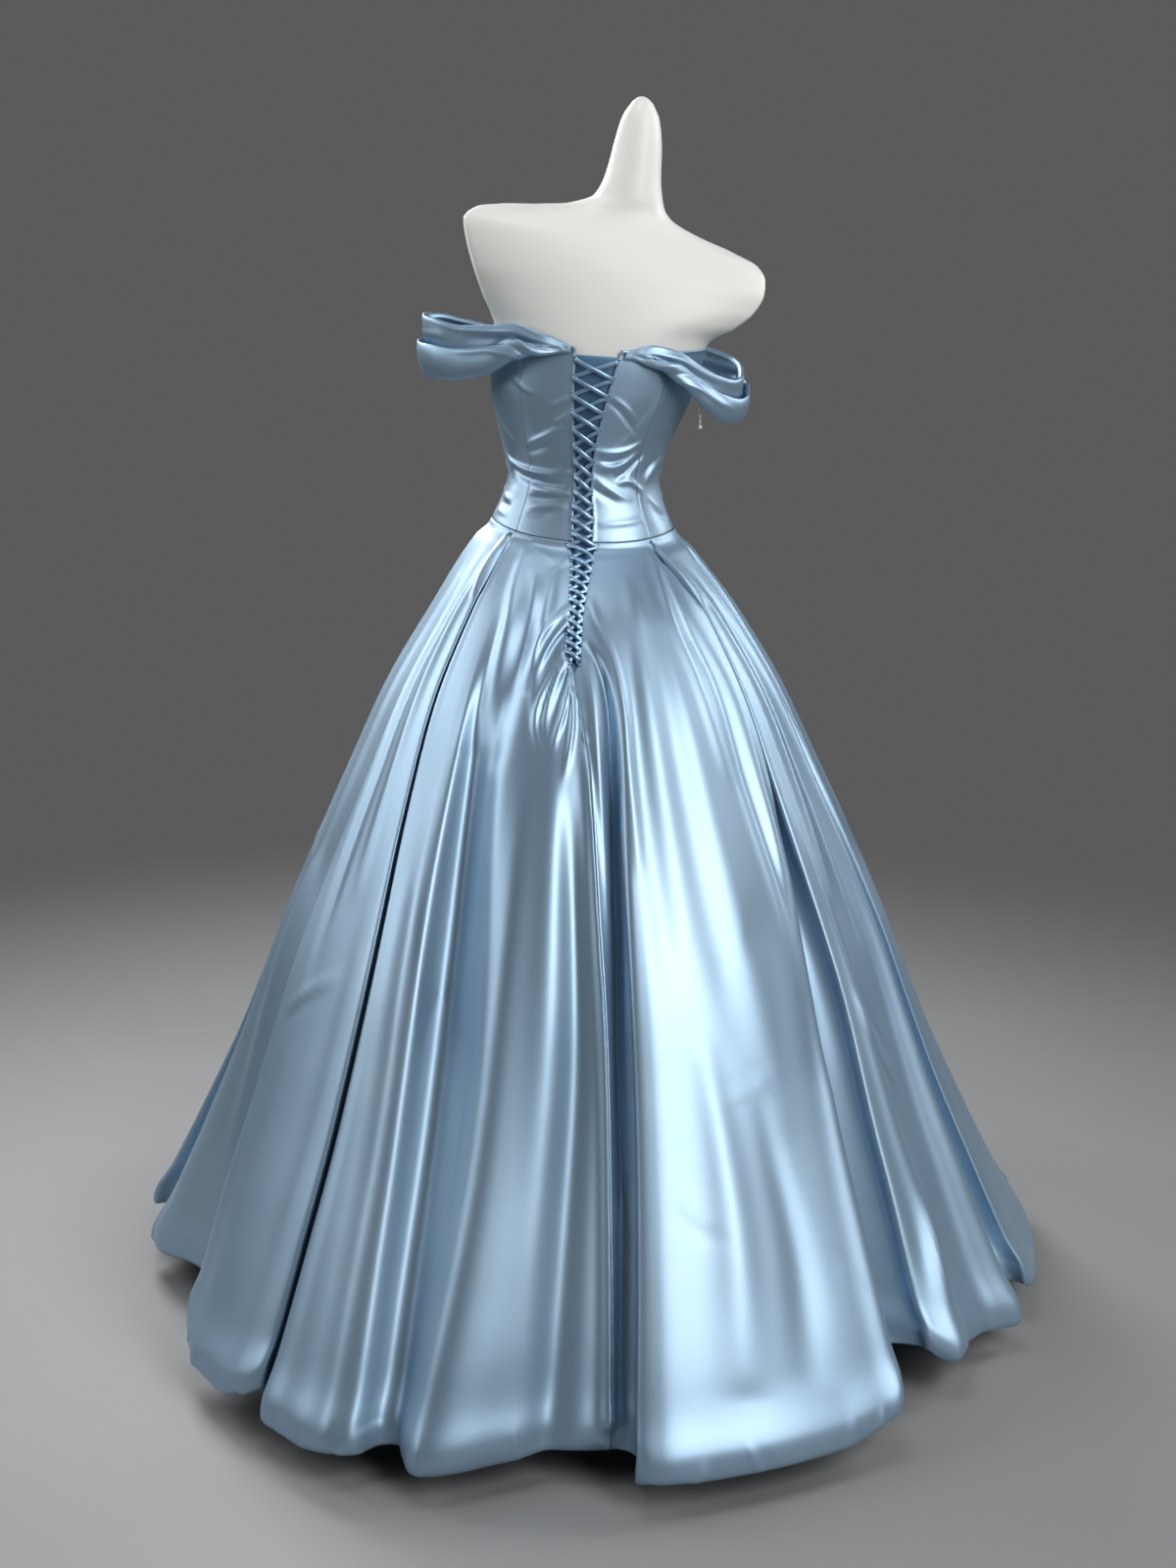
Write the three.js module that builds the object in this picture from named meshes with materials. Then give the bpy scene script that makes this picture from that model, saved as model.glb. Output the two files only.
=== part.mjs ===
// An off-shoulder satin ball gown, laced at the back, standing on a limbless dress form.
// Millimetres, +Z up, origin at the middle of the stand's underside, on the floor.
// The gown faces -Y. Angles run round the body in degrees from the centre back (+Y),
// positive towards the wearer's right (-X).
import * as THREE from "three";

// Driving dimensions
const CLOTH = 1.8; // wall of the satin with its interlining
const SEAM = 0.3; // gap between two pieces at a seam
const MODESTY_WALL = 1.2;
const MODESTY_GAP = 0.6; // between the modesty panel and the laced edges
const BODICE_OFF_FORM = 2.6; // leaves room for the modesty panel under the back edges
const FLOOR_TO_HEM = 38;
const HEM_TURN = 22; // how far the hem turns in under the skirt
const WAIST_SIDE = 1126; // waist seam at the side seams
const WAIST_BACK_DIP = 21; // the pointed waist at the centre back
const WAIST_FRONT_DIP = 38;
const POLE_RADIUS = 16;
const BASE_RADIUS = 190;
const BASE_THICKNESS = 8;
const BASE_BEVEL = 3;
const BASE_SIDES = 48;
const POLE_SIDES = 20;
const FORM_COLUMNS = 32;
const WAIST_ROLL = 3.3; // degrees that the waist drops towards the wearer's right
const WAIST_CURVE = 1.6; // how pointed the waist seam's dips are

const SATIN = { color: 0x86a9cc, roughness: 0.32, metalness: 0 };
const LACE_SATIN = { color: 0x9fbbd6, roughness: 0.35, metalness: 0 };
const SHELL = { color: 0xeeeee9, roughness: 0.38, metalness: 0 };
const STEEL = { color: 0xb9bcc0, roughness: 0.35, metalness: 0.9 };

// The dress form, ring by ring. height and shift place the ring's middle (shift is towards the
// wearer's right), half is half its width, back and front its depths, roll how far its right end
// drops and turn how far its left end comes back, in degrees, square how boxy it is,
// and cut how much of each end the flat arm cut takes off.
const FORM = [
  { height: 900, shift: 0, half: 132, back: 92, front: 86, roll: 0, turn: 0, square: 2.2, cut: 0 },
  { height: 940, shift: 0, half: 152, back: 106, front: 94, roll: 0, turn: 0, square: 2.2, cut: 0 },
  { height: 990, shift: 0, half: 161, back: 113, front: 99, roll: 1, turn: 0, square: 2.2, cut: 0 },
  { height: 1040, shift: -1, half: 153, back: 107, front: 98, roll: 2, turn: 0, square: 2.2, cut: 0 },
  { height: 1090, shift: -1, half: 138, back: 95, front: 91, roll: 3, turn: 0, square: 2.15, cut: 0 },
  { height: 1130, shift: 0, half: 122, back: 84, front: 84, roll: 3.3, turn: 0, square: 2.1, cut: 0 },
  { height: 1160, shift: 0, half: 109, back: 78, front: 80, roll: 3, turn: 0, square: 2.1, cut: 0 },
  { height: 1190, shift: 1, half: 102, back: 76, front: 80, roll: 2.6, turn: 0, square: 2.1, cut: 0 },
  { height: 1224, shift: 2, half: 109.5, back: 80, front: 84, roll: 2.6, turn: 0, square: 2.1, cut: 0 },
  { height: 1264, shift: 5.5, half: 122.5, back: 86, front: 90, roll: 3, turn: 0, square: 2.15, cut: 0 },
  { height: 1305, shift: 11, half: 135, back: 91, front: 94, roll: 3.5, turn: 0, square: 2.2, cut: 0 },
  { height: 1345, shift: 18, half: 140, back: 93, front: 92, roll: 4, turn: 0, square: 2.25, cut: 0 },
  { height: 1381, shift: 25, half: 147, back: 91, front: 84, roll: 4.8, turn: 1, square: 2.3, cut: 0.02 },
  { height: 1414, shift: 34, half: 174, back: 86, front: 76, roll: 8, turn: 3, square: 2.3, cut: 0.08 },
  { height: 1443, shift: 40, half: 193, back: 80, front: 68, roll: 9.8, turn: 5, square: 2.35, cut: 0.12 },
  { height: 1471, shift: 43, half: 205, back: 73, front: 60, roll: 10.6, turn: 6, square: 2.4, cut: 0.12 },
  { height: 1496, shift: 43, half: 209, back: 63, front: 51, roll: 11.2, turn: 7, square: 2.4, cut: 0.1 },
  { height: 1512, shift: 46, half: 197, back: 53, front: 42, roll: 11, turn: 7, square: 2.3, cut: 0.04 },
  { height: 1524, shift: 48, half: 162, back: 47, front: 38, roll: 11, turn: 7, square: 2.1, cut: 0 },
  { height: 1534, shift: 50, half: 112, back: 44, front: 38, roll: 11, turn: 6, square: 2, cut: 0 },
  { height: 1545, shift: 53, half: 72, back: 42, front: 39, roll: 10, turn: 5, square: 2, cut: 0 },
  { height: 1561, shift: 63, half: 48, back: 41, front: 39, roll: 9, turn: 4, square: 2, cut: 0 },
  { height: 1592, shift: 69, half: 38, back: 38, front: 37, roll: 8, turn: 2, square: 2, cut: 0 },
  { height: 1637, shift: 75.5, half: 32, back: 32, front: 32, roll: 7, turn: 0, square: 2, cut: 0 },
  { height: 1668, shift: 79, half: 25, back: 25, front: 25, roll: 7, turn: 0, square: 2, cut: 0 },
  { height: 1686, shift: 81, half: 15, back: 15, front: 15, roll: 7, turn: 0, square: 2, cut: 0 },
];
const FORM_TOP = { height: 1695, shift: 82 };
// Between these heights the form has twice as many rings.
const CURVED_FROM = 1130;
const CURVED_TO = 1381;
const BUST = { angle: 151, spread: 24, height: 1288, reach: 52, depth: 25 };

// Half the gap between the laced back edges, and where its middle lies, by height.
const LACED_GAP = [
  { height: 948, half: 0.15, middle: -2.5 },
  { height: 956, half: 4.5, middle: -2.5 },
  { height: 975, half: 7.5, middle: -3 },
  { height: 1010, half: 6, middle: -2.4 },
  { height: 1050, half: 8, middle: -1.8 },
  { height: 1105, half: 10, middle: -0.3 },
  { height: 1135, half: 11.5, middle: 0 },
  { height: 1180, half: 8.5, middle: 0 },
  { height: 1224, half: 11, middle: 0 },
  { height: 1260, half: 14.5, middle: 0 },
  { height: 1305, half: 19, middle: 0 },
  { height: 1366, half: 25, middle: 0 },
];

// The neckline's height by angle either side of the centre back.
const NECKLINE = [
  { angle: 0, height: 1361 },
  { angle: 40, height: 1366 },
  { angle: 75, height: 1374 },
  { angle: 105, height: 1376 },
  { angle: 140, height: 1372 },
  { angle: 158, height: 1362 },
  { angle: 180, height: 1336 },
];

// Bodice pieces: each runs from one angle to the other; the back pieces start at the laced gap.
const BODICE = [
  { name: "bodice_back_right", from: 0, to: 42, columns: 5 },
  { name: "bodice_side_back_right", from: 42, to: 92, columns: 5 },
  { name: "bodice_side_front_right", from: 92, to: 148, columns: 7 },
  { name: "bodice_front", from: 148, to: 212, columns: 9 },
  { name: "bodice_side_front_left", from: -148, to: -92, columns: 7 },
  { name: "bodice_side_back_left", from: -92, to: -42, columns: 5 },
  { name: "bodice_back_left", from: -42, to: 0, columns: 5 },
];
const BODICE_ROWS = 12;
const SEAM_RADIUS = 105; // the bodice's mean radius, which turns the seam gap into an angle

// The skirt's outline over its folds: half width and half depth by height.
const SKIRT = [
  { height: 20, half: 696, deep: 692 },
  { height: 56, half: 684, deep: 682 },
  { height: 136, half: 640, deep: 644 },
  { height: 247, half: 582, deep: 586 },
  { height: 356, half: 528, deep: 532 },
  { height: 450, half: 488, deep: 490 },
  { height: 560, half: 444, deep: 444 },
  { height: 673, half: 393, deep: 390 },
  { height: 790, half: 337, deep: 330 },
  { height: 905, half: 281, deep: 270 },
  { height: 1000, half: 223, deep: 206 },
  { height: 1060, half: 183, deep: 158 },
  { height: 1100, half: 153, deep: 119 },
  { height: 1126, half: 130, deep: 92 },
];
// Heights of the skirt's rows of points at the side seams, above the turned hem.
const SKIRT_ROWS = [WAIST_SIDE - 2 * SEAM, 1114, 1100, 1072, 1034, 980, 944, 870, 720, 530, 320, 150];
// The last rows: their heights over the hem where it is turned in and where it isn't, and how
// much of the turn they have reached.
const HEM_ROWS = [
  { turned: 34, plain: 34, tuck: 0 },
  { turned: 9, plain: 23, tuck: 0.04 },
  { turned: 0, plain: 12, tuck: 0.38 },
  { turned: 4, plain: 1, tuck: 1 },
];

// The skirt's folds in order round it. In a lap the cloth from one side (over) lies on the other;
// a box is an inverted pleat. waist, hip, knee and hem are its angles; width is the lap's own
// width and open the box's opening at the hem, both in degrees; depth is in mm at the hip, knee
// and hem; ridge is how far the upper cloth's edge stands proud, and upper and lower how deep the
// upper and lower cloth lie where the fold ends, at the hem; on and under are how far the fold
// reaches over each side, in degrees; lift is how far it raises the hem; it starts at the height
// top and grows over grow.
const FOLDS = [
  { name: "front_left", kind: "lap", over: 1, waist: -158, hip: -158, knee: -160, hem: -160, width: 2.2,
    depth: [18, 38, 58], ridge: 9, upper: 0, lower: 8, on: 9, under: 13, lift: 16, top: 1126, grow: 110 },
  { name: "hip_left", kind: "lap", over: -1, waist: -128, hip: -128, knee: -126, hem: -124, width: 2.2,
    depth: [18, 36, 54], ridge: 8, upper: 0, lower: 8, on: 8, under: 14, lift: 14, top: 1126, grow: 110 },
  { name: "side_left", kind: "lap", over: 1, waist: -102, hip: -100, knee: -97, hem: -96, width: 1.8,
    depth: [9, 26, 50], ridge: 8, upper: 6, lower: 32, on: 8, under: 7, lift: 20, top: 1126, grow: 110 },
  { name: "back_side_left", kind: "lap", over: -1, waist: -67, hip: -65, knee: -62, hem: -59.5, width: 2.4,
    depth: [9, 32, 160], ridge: -6, upper: 38, lower: 44, on: 7, under: 26, lift: 40, top: 1126, grow: 110 },
  { name: "pleat_left", kind: "lap", over: 1, waist: -46, hip: -46, knee: -39.5, hem: -39, width: 2,
    depth: [24, 42, 100], ridge: 4, upper: 30, lower: 24, on: 6, under: 5, lift: 30, top: 1126, grow: 110 },
  { name: "ridge_left", kind: "lap", over: 1, waist: -28, hip: -28.5, knee: -30.5, hem: -26.5, width: 1.6,
    depth: [8, 34, 60], ridge: 10, upper: 6, lower: 28, on: 3.5, under: 6.5, lift: 18, top: 1080, grow: 200 },
  { name: "centre_back", kind: "lap", over: -1, waist: 12, hip: 8.2, knee: 8, hem: 5.4, width: 1.7,
    depth: [6, 42, 88], ridge: 6, upper: 8, lower: 58, on: 8, under: 14, lift: 4, top: 935, grow: 200 },
  { name: "pleat_right", kind: "box", over: 1, waist: 43, hip: 51.5, knee: 46.5, hem: 42.5, width: 1.7,
    open: 10, depth: [24, 48, 92], ridge: 3, upper: 12, lower: 60, on: 9, under: 13, lift: 34, top: 1126,
    grow: 110 },
  { name: "back_side_right", kind: "lap", over: -1, waist: 78, hip: 76, knee: 74, hem: 71.5, width: 1.8,
    depth: [6, 22, 58], ridge: 2, upper: 14, lower: 20, on: 8, under: 6, lift: 24, top: 1126, grow: 110 },
  { name: "side_right", kind: "lap", over: 1, waist: 104, hip: 105, knee: 106, hem: 107, width: 2.2,
    depth: [14, 34, 52], ridge: 8, upper: -4, lower: 8, on: 8, under: 12, lift: 14, top: 1126, grow: 110 },
  { name: "hip_right", kind: "lap", over: 1, waist: 133, hip: 133, knee: 132, hem: 131, width: 2.2,
    depth: [18, 36, 54], ridge: 8, upper: 0, lower: 8, on: 7, under: 11, lift: 14, top: 1126, grow: 110 },
  { name: "front_right", kind: "lap", over: -1, waist: 160, hip: 160, knee: 161, hem: 161, width: 2.2,
    depth: [18, 38, 58], ridge: 9, upper: 0, lower: 8, on: 9, under: 11, lift: 16, top: 1126, grow: 110 },
];
// A lap's points from the upper cloth round to the lower: each lies at a share of the fold's
// reach on that side, plus so many widths where the cloth is still flat or so many (folded) and a
// share of the depth (under) where it is folded. sunk is a share of the fold's depth, proud of its
// ridge and lift of its lift; room is how much of the hem's turn fits there.
const LAP = [
  { on: -1, off: 0, flat: 0, folded: 0, under: 0, sunk: 0, proud: 0, lift: 0, room: 1 },
  { on: 0, off: 0, flat: -1.6, folded: -1.4, under: 0, sunk: 0, proud: 1, lift: 0.35, room: 0.6 },
  { on: 0, off: 0, flat: -0.9, folded: 0, under: 0, sunk: 0.06, proud: 0.6, lift: 1, room: 0.2 },
  { on: 0, off: 0, flat: -0.3, folded: 0, under: -0.09, sunk: 0.32, proud: 0, lift: 1, room: 0 },
  { on: 0, off: 0, flat: 0.1, folded: 0, under: -0.15, sunk: 0.6, proud: 0, lift: 1, room: 0 },
  { on: 0, off: 0, flat: 0.5, folded: 0, under: -0.04, sunk: 0.88, proud: 0, lift: 1, room: 0 },
  { on: 0, off: 0, flat: 1.2, folded: 0.6, under: 0.06, sunk: 0.97, proud: 0, lift: 0.8, room: 0.2 },
  { on: 0, off: 0.65, flat: 0, folded: 0, under: 0, sunk: 0.5, proud: 0, lift: 0.3, room: 0.6 },
  { on: 0, off: 1, flat: 0, folded: 0, under: 0, sunk: 0, proud: 0, lift: 0, room: 1 },
];
const LAP_SEAM = 5; // a piece may end after this point, on the hidden floor of the lap
// Half of an inverted pleat, from its outer reach to its floor; open is a share of its opening.
const BOX = [
  { on: 1, open: 0.5, flat: 0, folded: 0, under: 0, sunk: 0, proud: 0, lift: 0, room: 1 },
  { on: 0, open: 0.5, flat: 1.9, folded: 1.4, under: 0, sunk: 0, proud: 1, lift: 0.35, room: 0.6 },
  { on: 0, open: 0.5, flat: 1.1, folded: 0, under: 0, sunk: 0.06, proud: 0.4, lift: 1, room: 0.2 },
  { on: 0, open: 0.5, flat: 0.6, folded: 0, under: 0.04, sunk: 0.55, proud: 0, lift: 1, room: 0 },
  { on: 0, open: 0.35, flat: 0.2, folded: 0.1, under: 0, sunk: 1, proud: 0, lift: 1, room: 0.2 },
];
const BOX_SEAM = 4;
// The heights that the columns hip, knee and hem of FOLDS stand for.
const HIP = 1000;
const KNEE = 520;
const OPEN_TOP = 860; // where the inverted pleat begins to open
const SINK_TOP = 940; // where the cloth between two folds begins to sink, and over what height
const SINK_GROW = 400;
const FOLDED_FROM = 26; // a fold this deep has its full form
const LIFT_TOP = 300; // below this the folds raise the hem
const SEATED_FROM = 1100; // above this the skirt takes the body's form
const SKIRT_PROUD = 0.4; // how far the skirt lies outside the bodice at the waist
const BOX_CLOSED = 0.4; // the inverted pleat's opening in degrees where it is shut
const BOX_OPENS = 2; // how soon it opens, as a share of its run
// The centre back seam's angle by height; above it the laced gap takes over.
const BACK_SEAM = [
  { height: 40, angle: 3.4 },
  { height: 267, angle: 3.9 },
  { height: 479, angle: 4.1 },
  { height: 640, angle: 3.2 },
  { height: 820, angle: 1.7 },
  { height: 898, angle: -0.6 },
  { height: 950, angle: -2.5 },
  { height: 1105, angle: -0.3 },
];
const SEAM_ROOM = 2; // degrees that the fold beside the seam keeps clear of it
// The skirt's pieces end inside these folds, where the seam doesn't show.
const SKIRT_PIECES = [
  { name: "skirt_back_right", from: "centre_back", to: "pleat_right" },
  { name: "skirt_side_right", from: "pleat_right", to: "hip_right" },
  { name: "skirt_front", from: "hip_right", to: "hip_left" },
  { name: "skirt_side_left", from: "hip_left", to: "pleat_left" },
  { name: "skirt_back_left", from: "pleat_left", to: "centre_back" },
];

// The folded sleeve bands, station by station from the centre back round the arm to the front.
// right and back place the top edge, height is its height, tall how deep the band is there,
// lean how far its lower edge stands out, and fold how much of the pleat shows. Where hug is 1
// the band lies on the bodice, at angle.
const SLEEVE_LEFT = [
  { right: -9, back: 101, height: 1362, tall: 9, lean: 0, fold: 0, hug: 1, angle: -12 },
  { right: -32, back: 101, height: 1373, tall: 20, lean: 1, fold: 0.1, hug: 0.5, angle: -22 },
  { right: -60, back: 96, height: 1385, tall: 34, lean: 3, fold: 0.4, hug: 0, angle: -34 },
  { right: -92, back: 86, height: 1396, tall: 52, lean: 6, fold: 0.8, hug: 0, angle: -50 },
  { right: -126, back: 72, height: 1393, tall: 66, lean: 5, fold: 1, hug: 0, angle: -70 },
  { right: -164, back: 58, height: 1393, tall: 73, lean: 0, fold: 1, hug: 0, angle: -80 },
  { right: -198, back: 44, height: 1401, tall: 79, lean: -6, fold: 1, hug: 0, angle: -90 },
  { right: -218, back: 16, height: 1408, tall: 83, lean: -8, fold: 1, hug: 0, angle: -90 },
  { right: -220, back: -20, height: 1413, tall: 83, lean: -8, fold: 1, hug: 0, angle: -90 },
  { right: -203, back: -53, height: 1415, tall: 80, lean: -6, fold: 1, hug: 0, angle: -100 },
  { right: -170, back: -76, height: 1408, tall: 74, lean: 0, fold: 1, hug: 0, angle: -120 },
  { right: -134, back: -91, height: 1400, tall: 64, lean: 5, fold: 0.9, hug: 0, angle: -130 },
  { right: -100, back: -104, height: 1391, tall: 48, lean: 9, fold: 0.6, hug: 0, angle: -140 },
  { right: -68, back: -106, height: 1380, tall: 28, lean: 6, fold: 0.2, hug: 0.4, angle: -150 },
  { right: -40, back: -100, height: 1369, tall: 11, lean: 0, fold: 0, hug: 1, angle: -158 },
];
const SLEEVE_RIGHT = [
  { right: 47, back: 100, height: 1359, tall: 9, lean: 0, fold: 0, hug: 1, angle: 12 },
  { right: 72, back: 98, height: 1366, tall: 20, lean: 1, fold: 0.1, hug: 0.5, angle: 22 },
  { right: 98, back: 92, height: 1367, tall: 33, lean: 3, fold: 0.4, hug: 0, angle: 34 },
  { right: 128, back: 81, height: 1360, tall: 47, lean: 8, fold: 0.8, hug: 0, angle: 50 },
  { right: 158, back: 68, height: 1341, tall: 57, lean: 8, fold: 1, hug: 0, angle: 70 },
  { right: 185, back: 54, height: 1327, tall: 61, lean: 2, fold: 1, hug: 0, angle: 80 },
  { right: 207, back: 36, height: 1321, tall: 60, lean: -4, fold: 1, hug: 0, angle: 90 },
  { right: 221, back: 8, height: 1328, tall: 60, lean: -8, fold: 1, hug: 0, angle: 90 },
  { right: 222, back: -24, height: 1341, tall: 64, lean: -6, fold: 1, hug: 0, angle: 90 },
  { right: 214, back: -54, height: 1353, tall: 70, lean: 4, fold: 1, hug: 0, angle: 100 },
  { right: 190, back: -76, height: 1364, tall: 68, lean: 6, fold: 1, hug: 0, angle: 120 },
  { right: 162, back: -92, height: 1372, tall: 60, lean: 8, fold: 0.9, hug: 0, angle: 130 },
  { right: 132, back: -105, height: 1375, tall: 46, lean: 9, fold: 0.6, hug: 0, angle: 140 },
  { right: 104, back: -108, height: 1371, tall: 28, lean: 6, fold: 0.2, hug: 0.4, angle: 150 },
  { right: 78, back: -100, height: 1364, tall: 11, lean: 0, fold: 0, hug: 1, angle: 158 },
];
// The band's profile from its top edge down: out is in mm, down a share of the band's depth.
// flat and flatDown are the same points where the pleat has run out.
const BAND = [
  { out: -5, down: 0.1, flat: 0, flatDown: 0 },
  { out: -2.5, down: 0.02, flat: 0.3, flatDown: 0.07 },
  { out: 1.5, down: 0.0, flat: 0.6, flatDown: 0.14 },
  { out: 3.5, down: 0.12, flat: 0.8, flatDown: 0.22 },
  { out: 2.5, down: 0.36, flat: 0.9, flatDown: 0.3 },
  { out: 0.5, down: 0.58, flat: 1, flatDown: 0.38 },
  { out: 3.5, down: 0.66, flat: 1, flatDown: 0.45 },
  { out: 7, down: 0.58, flat: 1, flatDown: 0.52 },
  { out: 9, down: 0.46, flat: 1, flatDown: 0.58 },
  { out: 12.5, down: 0.42, flat: 1, flatDown: 0.65 },
  { out: 15, down: 0.52, flat: 1, flatDown: 0.72 },
  { out: 15, down: 0.74, flat: 0.9, flatDown: 0.79 },
  { out: 11.5, down: 0.93, flat: 0.7, flatDown: 0.86 },
  { out: 6, down: 1.0, flat: 0.4, flatDown: 0.93 },
  { out: 1, down: 0.95, flat: 0, flatDown: 1 },
];
const SLEEVE_STEPS = 28;
const STATION_STEP = 0.05; // share of a station over which the band's direction is read

// The lace: two runs of one satin rouleau that cross between each pair of loops.
const LACE_ROWS = 23;
const LACE_TOP = 1346;
const LACE_BOTTOM = 960;
const LACE_SPREAD = 0.35; // how much wider apart the crossings are at the top
const LACE_WIDE = 4.4;
const LACE_THICK = 2.2;
const LACE_PARTS = [0, 0.27, 0.73]; // where its points lie from one edge to the other
const LACE_GAP = 0.95; // between the runs, and between the lace and the cloth
const LACE_LEVEL = 8; // height over which the slope of the back is read
const LACE_ON_EDGE = 0.8; // how far onto the bodice the lace turns
const PANEL_TOP = 1352;
const PANEL_BOTTOM = 944;
const PANEL_UNDER = 7; // how far the modesty panel reaches under each laced edge

const rad = THREE.MathUtils.degToRad;
const mix = THREE.MathUtils.lerp;
const clamp = THREE.MathUtils.clamp;
const ease = (x) => THREE.MathUtils.smoothstep(x, 0, 1);

// A column of a table, read smoothly between rows that are sorted by another column.
function read(table, along, column, at) {
  const last = table.length - 1;
  const x = clamp(at, table[0][along], table[last][along]);
  let i = 0;
  while (i < last - 1 && x > table[i + 1][along]) i++;
  const step = (j) => table[j + 1][along] - table[j][along];
  const rise = (j) => (table[j + 1][column] - table[j][column]) / step(j);
  const slope = (j) => {
    if (j === 0) return rise(0);
    if (j === last) return rise(last - 1);
    const [before, after] = [rise(j - 1), rise(j)];
    return before * after <= 0 ? 0 : (2 * before * after) / (before + after);
  };
  const h = step(i);
  const t = (x - table[i][along]) / h;
  const [a, b] = [table[i][column], table[i + 1][column]];
  return (
    a * (1 + 2 * t) * (1 - t) ** 2 +
    slope(i) * h * t * (1 - t) ** 2 +
    b * t * t * (3 - 2 * t) +
    slope(i + 1) * h * t * t * (t - 1)
  );
}

// A point of the form's skin, moved out by off.
function onForm(angle, height, off = 0) {
  const ring = (column) => read(FORM, "height", column, height);
  const a = rad(angle);
  const power = 2 / ring("square");
  const bow = (v) => Math.sign(v) * Math.abs(v) ** power;
  const half = ring("half");
  const reach = (half / (1 - ring("cut"))) * bow(Math.sin(a));
  const across = clamp(reach, -half, half) + off * Math.sin(a);
  const deep = Math.cos(a) > 0 ? ring("back") : ring("front");
  const away = Math.abs(angle) > 180 ? 360 - Math.abs(angle) : Math.abs(angle);
  const cup =
    BUST.depth *
    Math.exp(-(((away - BUST.angle) / BUST.spread) ** 2)) *
    Math.exp(-(((height - BUST.height) / BUST.reach) ** 2));
  const along = deep * bow(Math.cos(a)) + off * Math.cos(a) - cup;
  const [roll, turn] = [rad(ring("roll")), rad(ring("turn"))];
  const right = across * Math.cos(turn) + along * Math.sin(turn);
  const back = along * Math.cos(turn) - across * Math.sin(turn);
  return new THREE.Vector3(
    -(ring("shift") + right * Math.cos(roll)),
    back,
    height - right * Math.sin(roll),
  );
}

// Height of the waist seam round the body: it dips to a point at the back and the front.
function waistHeight(angle) {
  const towards = Math.cos(rad(angle));
  const dip = towards > 0 ? WAIST_BACK_DIP : WAIST_FRONT_DIP;
  return WAIST_SIDE - dip * Math.abs(towards) ** WAIST_CURVE;
}

function neckHeight(angle) {
  const away = Math.abs(angle) > 180 ? 360 - Math.abs(angle) : Math.abs(angle);
  return read(NECKLINE, "angle", "height", away);
}

// A closed cloth wall from a grid of points, rows from top to bottom and columns from left to
// right as seen from outside. Its outer side lies sunk under the points; where inner is given,
// that is the grid of its inner side.
function clothWall(grid, thickness, sunk = 0, inner = null) {
  const rows = grid.length;
  const columns = grid[0].length;
  const at = (i, j) => grid[clamp(i, 0, rows - 1)][clamp(j, 0, columns - 1)];
  const positions = [];
  const faces = [];
  for (const side of [0, 1])
    for (let i = 0; i < rows; i++)
      for (let j = 0; j < columns; j++) {
        const down = course(at(i - 1, j), grid[i][j], at(i + 1, j));
        const over = course(at(i, j - 1), grid[i][j], at(i, j + 1));
        const out = down.cross(over).normalize();
        const p = grid[i][j].clone().addScaledVector(out, -sunk - side * thickness);
        positions.push(...(side && inner ? inner[i][j] : p).toArray());
      }
  const id = (side, i, j) => side * rows * columns + i * columns + j;
  const quad = (a, b, c, d) => faces.push(a, b, c, a, c, d);
  for (let i = 0; i < rows - 1; i++)
    for (let j = 0; j < columns - 1; j++) {
      quad(id(0, i, j), id(0, i + 1, j), id(0, i + 1, j + 1), id(0, i, j + 1));
      quad(id(1, i, j), id(1, i, j + 1), id(1, i + 1, j + 1), id(1, i + 1, j));
    }
  for (let j = 0; j < columns - 1; j++) {
    quad(id(0, 0, j), id(0, 0, j + 1), id(1, 0, j + 1), id(1, 0, j));
    const end = rows - 1;
    quad(id(0, end, j), id(1, end, j), id(1, end, j + 1), id(0, end, j + 1));
  }
  for (let i = 0; i < rows - 1; i++) {
    quad(id(0, i, 0), id(1, i, 0), id(1, i + 1, 0), id(0, i + 1, 0));
    const end = columns - 1;
    quad(id(0, i, end), id(0, i + 1, end), id(1, i + 1, end), id(1, i, end));
  }
  return closed(positions, faces);
}

// The direction in which a line of points runs through one of them, midway between its two sides.
function course(before, point, after) {
  const into = point.clone().sub(before).normalize();
  return after.clone().sub(point).normalize().add(into);
}

function closed(positions, faces) {
  const geometry = new THREE.BufferGeometry();
  geometry.setAttribute("position", new THREE.Float32BufferAttribute(positions, 3));
  geometry.setIndex(faces);
  geometry.computeVertexNormals();
  return geometry;
}

// A closed solid from rings of points in order, each ring anticlockwise seen from the last one.
function ringSolid(rings, bottom, top) {
  const count = rings[0].length;
  const positions = [bottom, ...rings.flat(), top].flatMap((p) => [p.x, p.y, p.z]);
  const faces = [];
  const id = (i, j) => 1 + i * count + (j % count);
  for (let j = 0; j < count; j++) {
    faces.push(0, id(0, j + 1), id(0, j));
    for (let i = 0; i < rings.length - 1; i++) {
      faces.push(id(i, j), id(i + 1, j + 1), id(i + 1, j));
      faces.push(id(i, j), id(i, j + 1), id(i + 1, j + 1));
    }
    faces.push(id(rings.length - 1, j), id(rings.length - 1, j + 1), 1 + rings.length * count);
  }
  return closed(positions, faces);
}

const gown = new THREE.Group();
function add(name, geometry, finish) {
  const mesh = new THREE.Mesh(geometry, new THREE.MeshStandardMaterial(finish));
  mesh.name = name;
  gown.add(mesh);
  return mesh;
}

// Dress form and stand
function dressForm() {
  const heights = FORM.flatMap(({ height }, i) => {
    const halfway = (height + (FORM[i + 1]?.height ?? height)) / 2;
    return height >= CURVED_FROM && height < CURVED_TO ? [height, halfway] : [height];
  });
  const rings = heights.map((height) =>
    Array.from({ length: FORM_COLUMNS }, (_, j) => onForm((360 * j) / FORM_COLUMNS, height)),
  );
  const bottom = new THREE.Vector3(0, 0, FORM[0].height);
  const top = new THREE.Vector3(-FORM_TOP.shift, 0, FORM_TOP.height);
  return ringSolid(rings, bottom, top);
}

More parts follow.
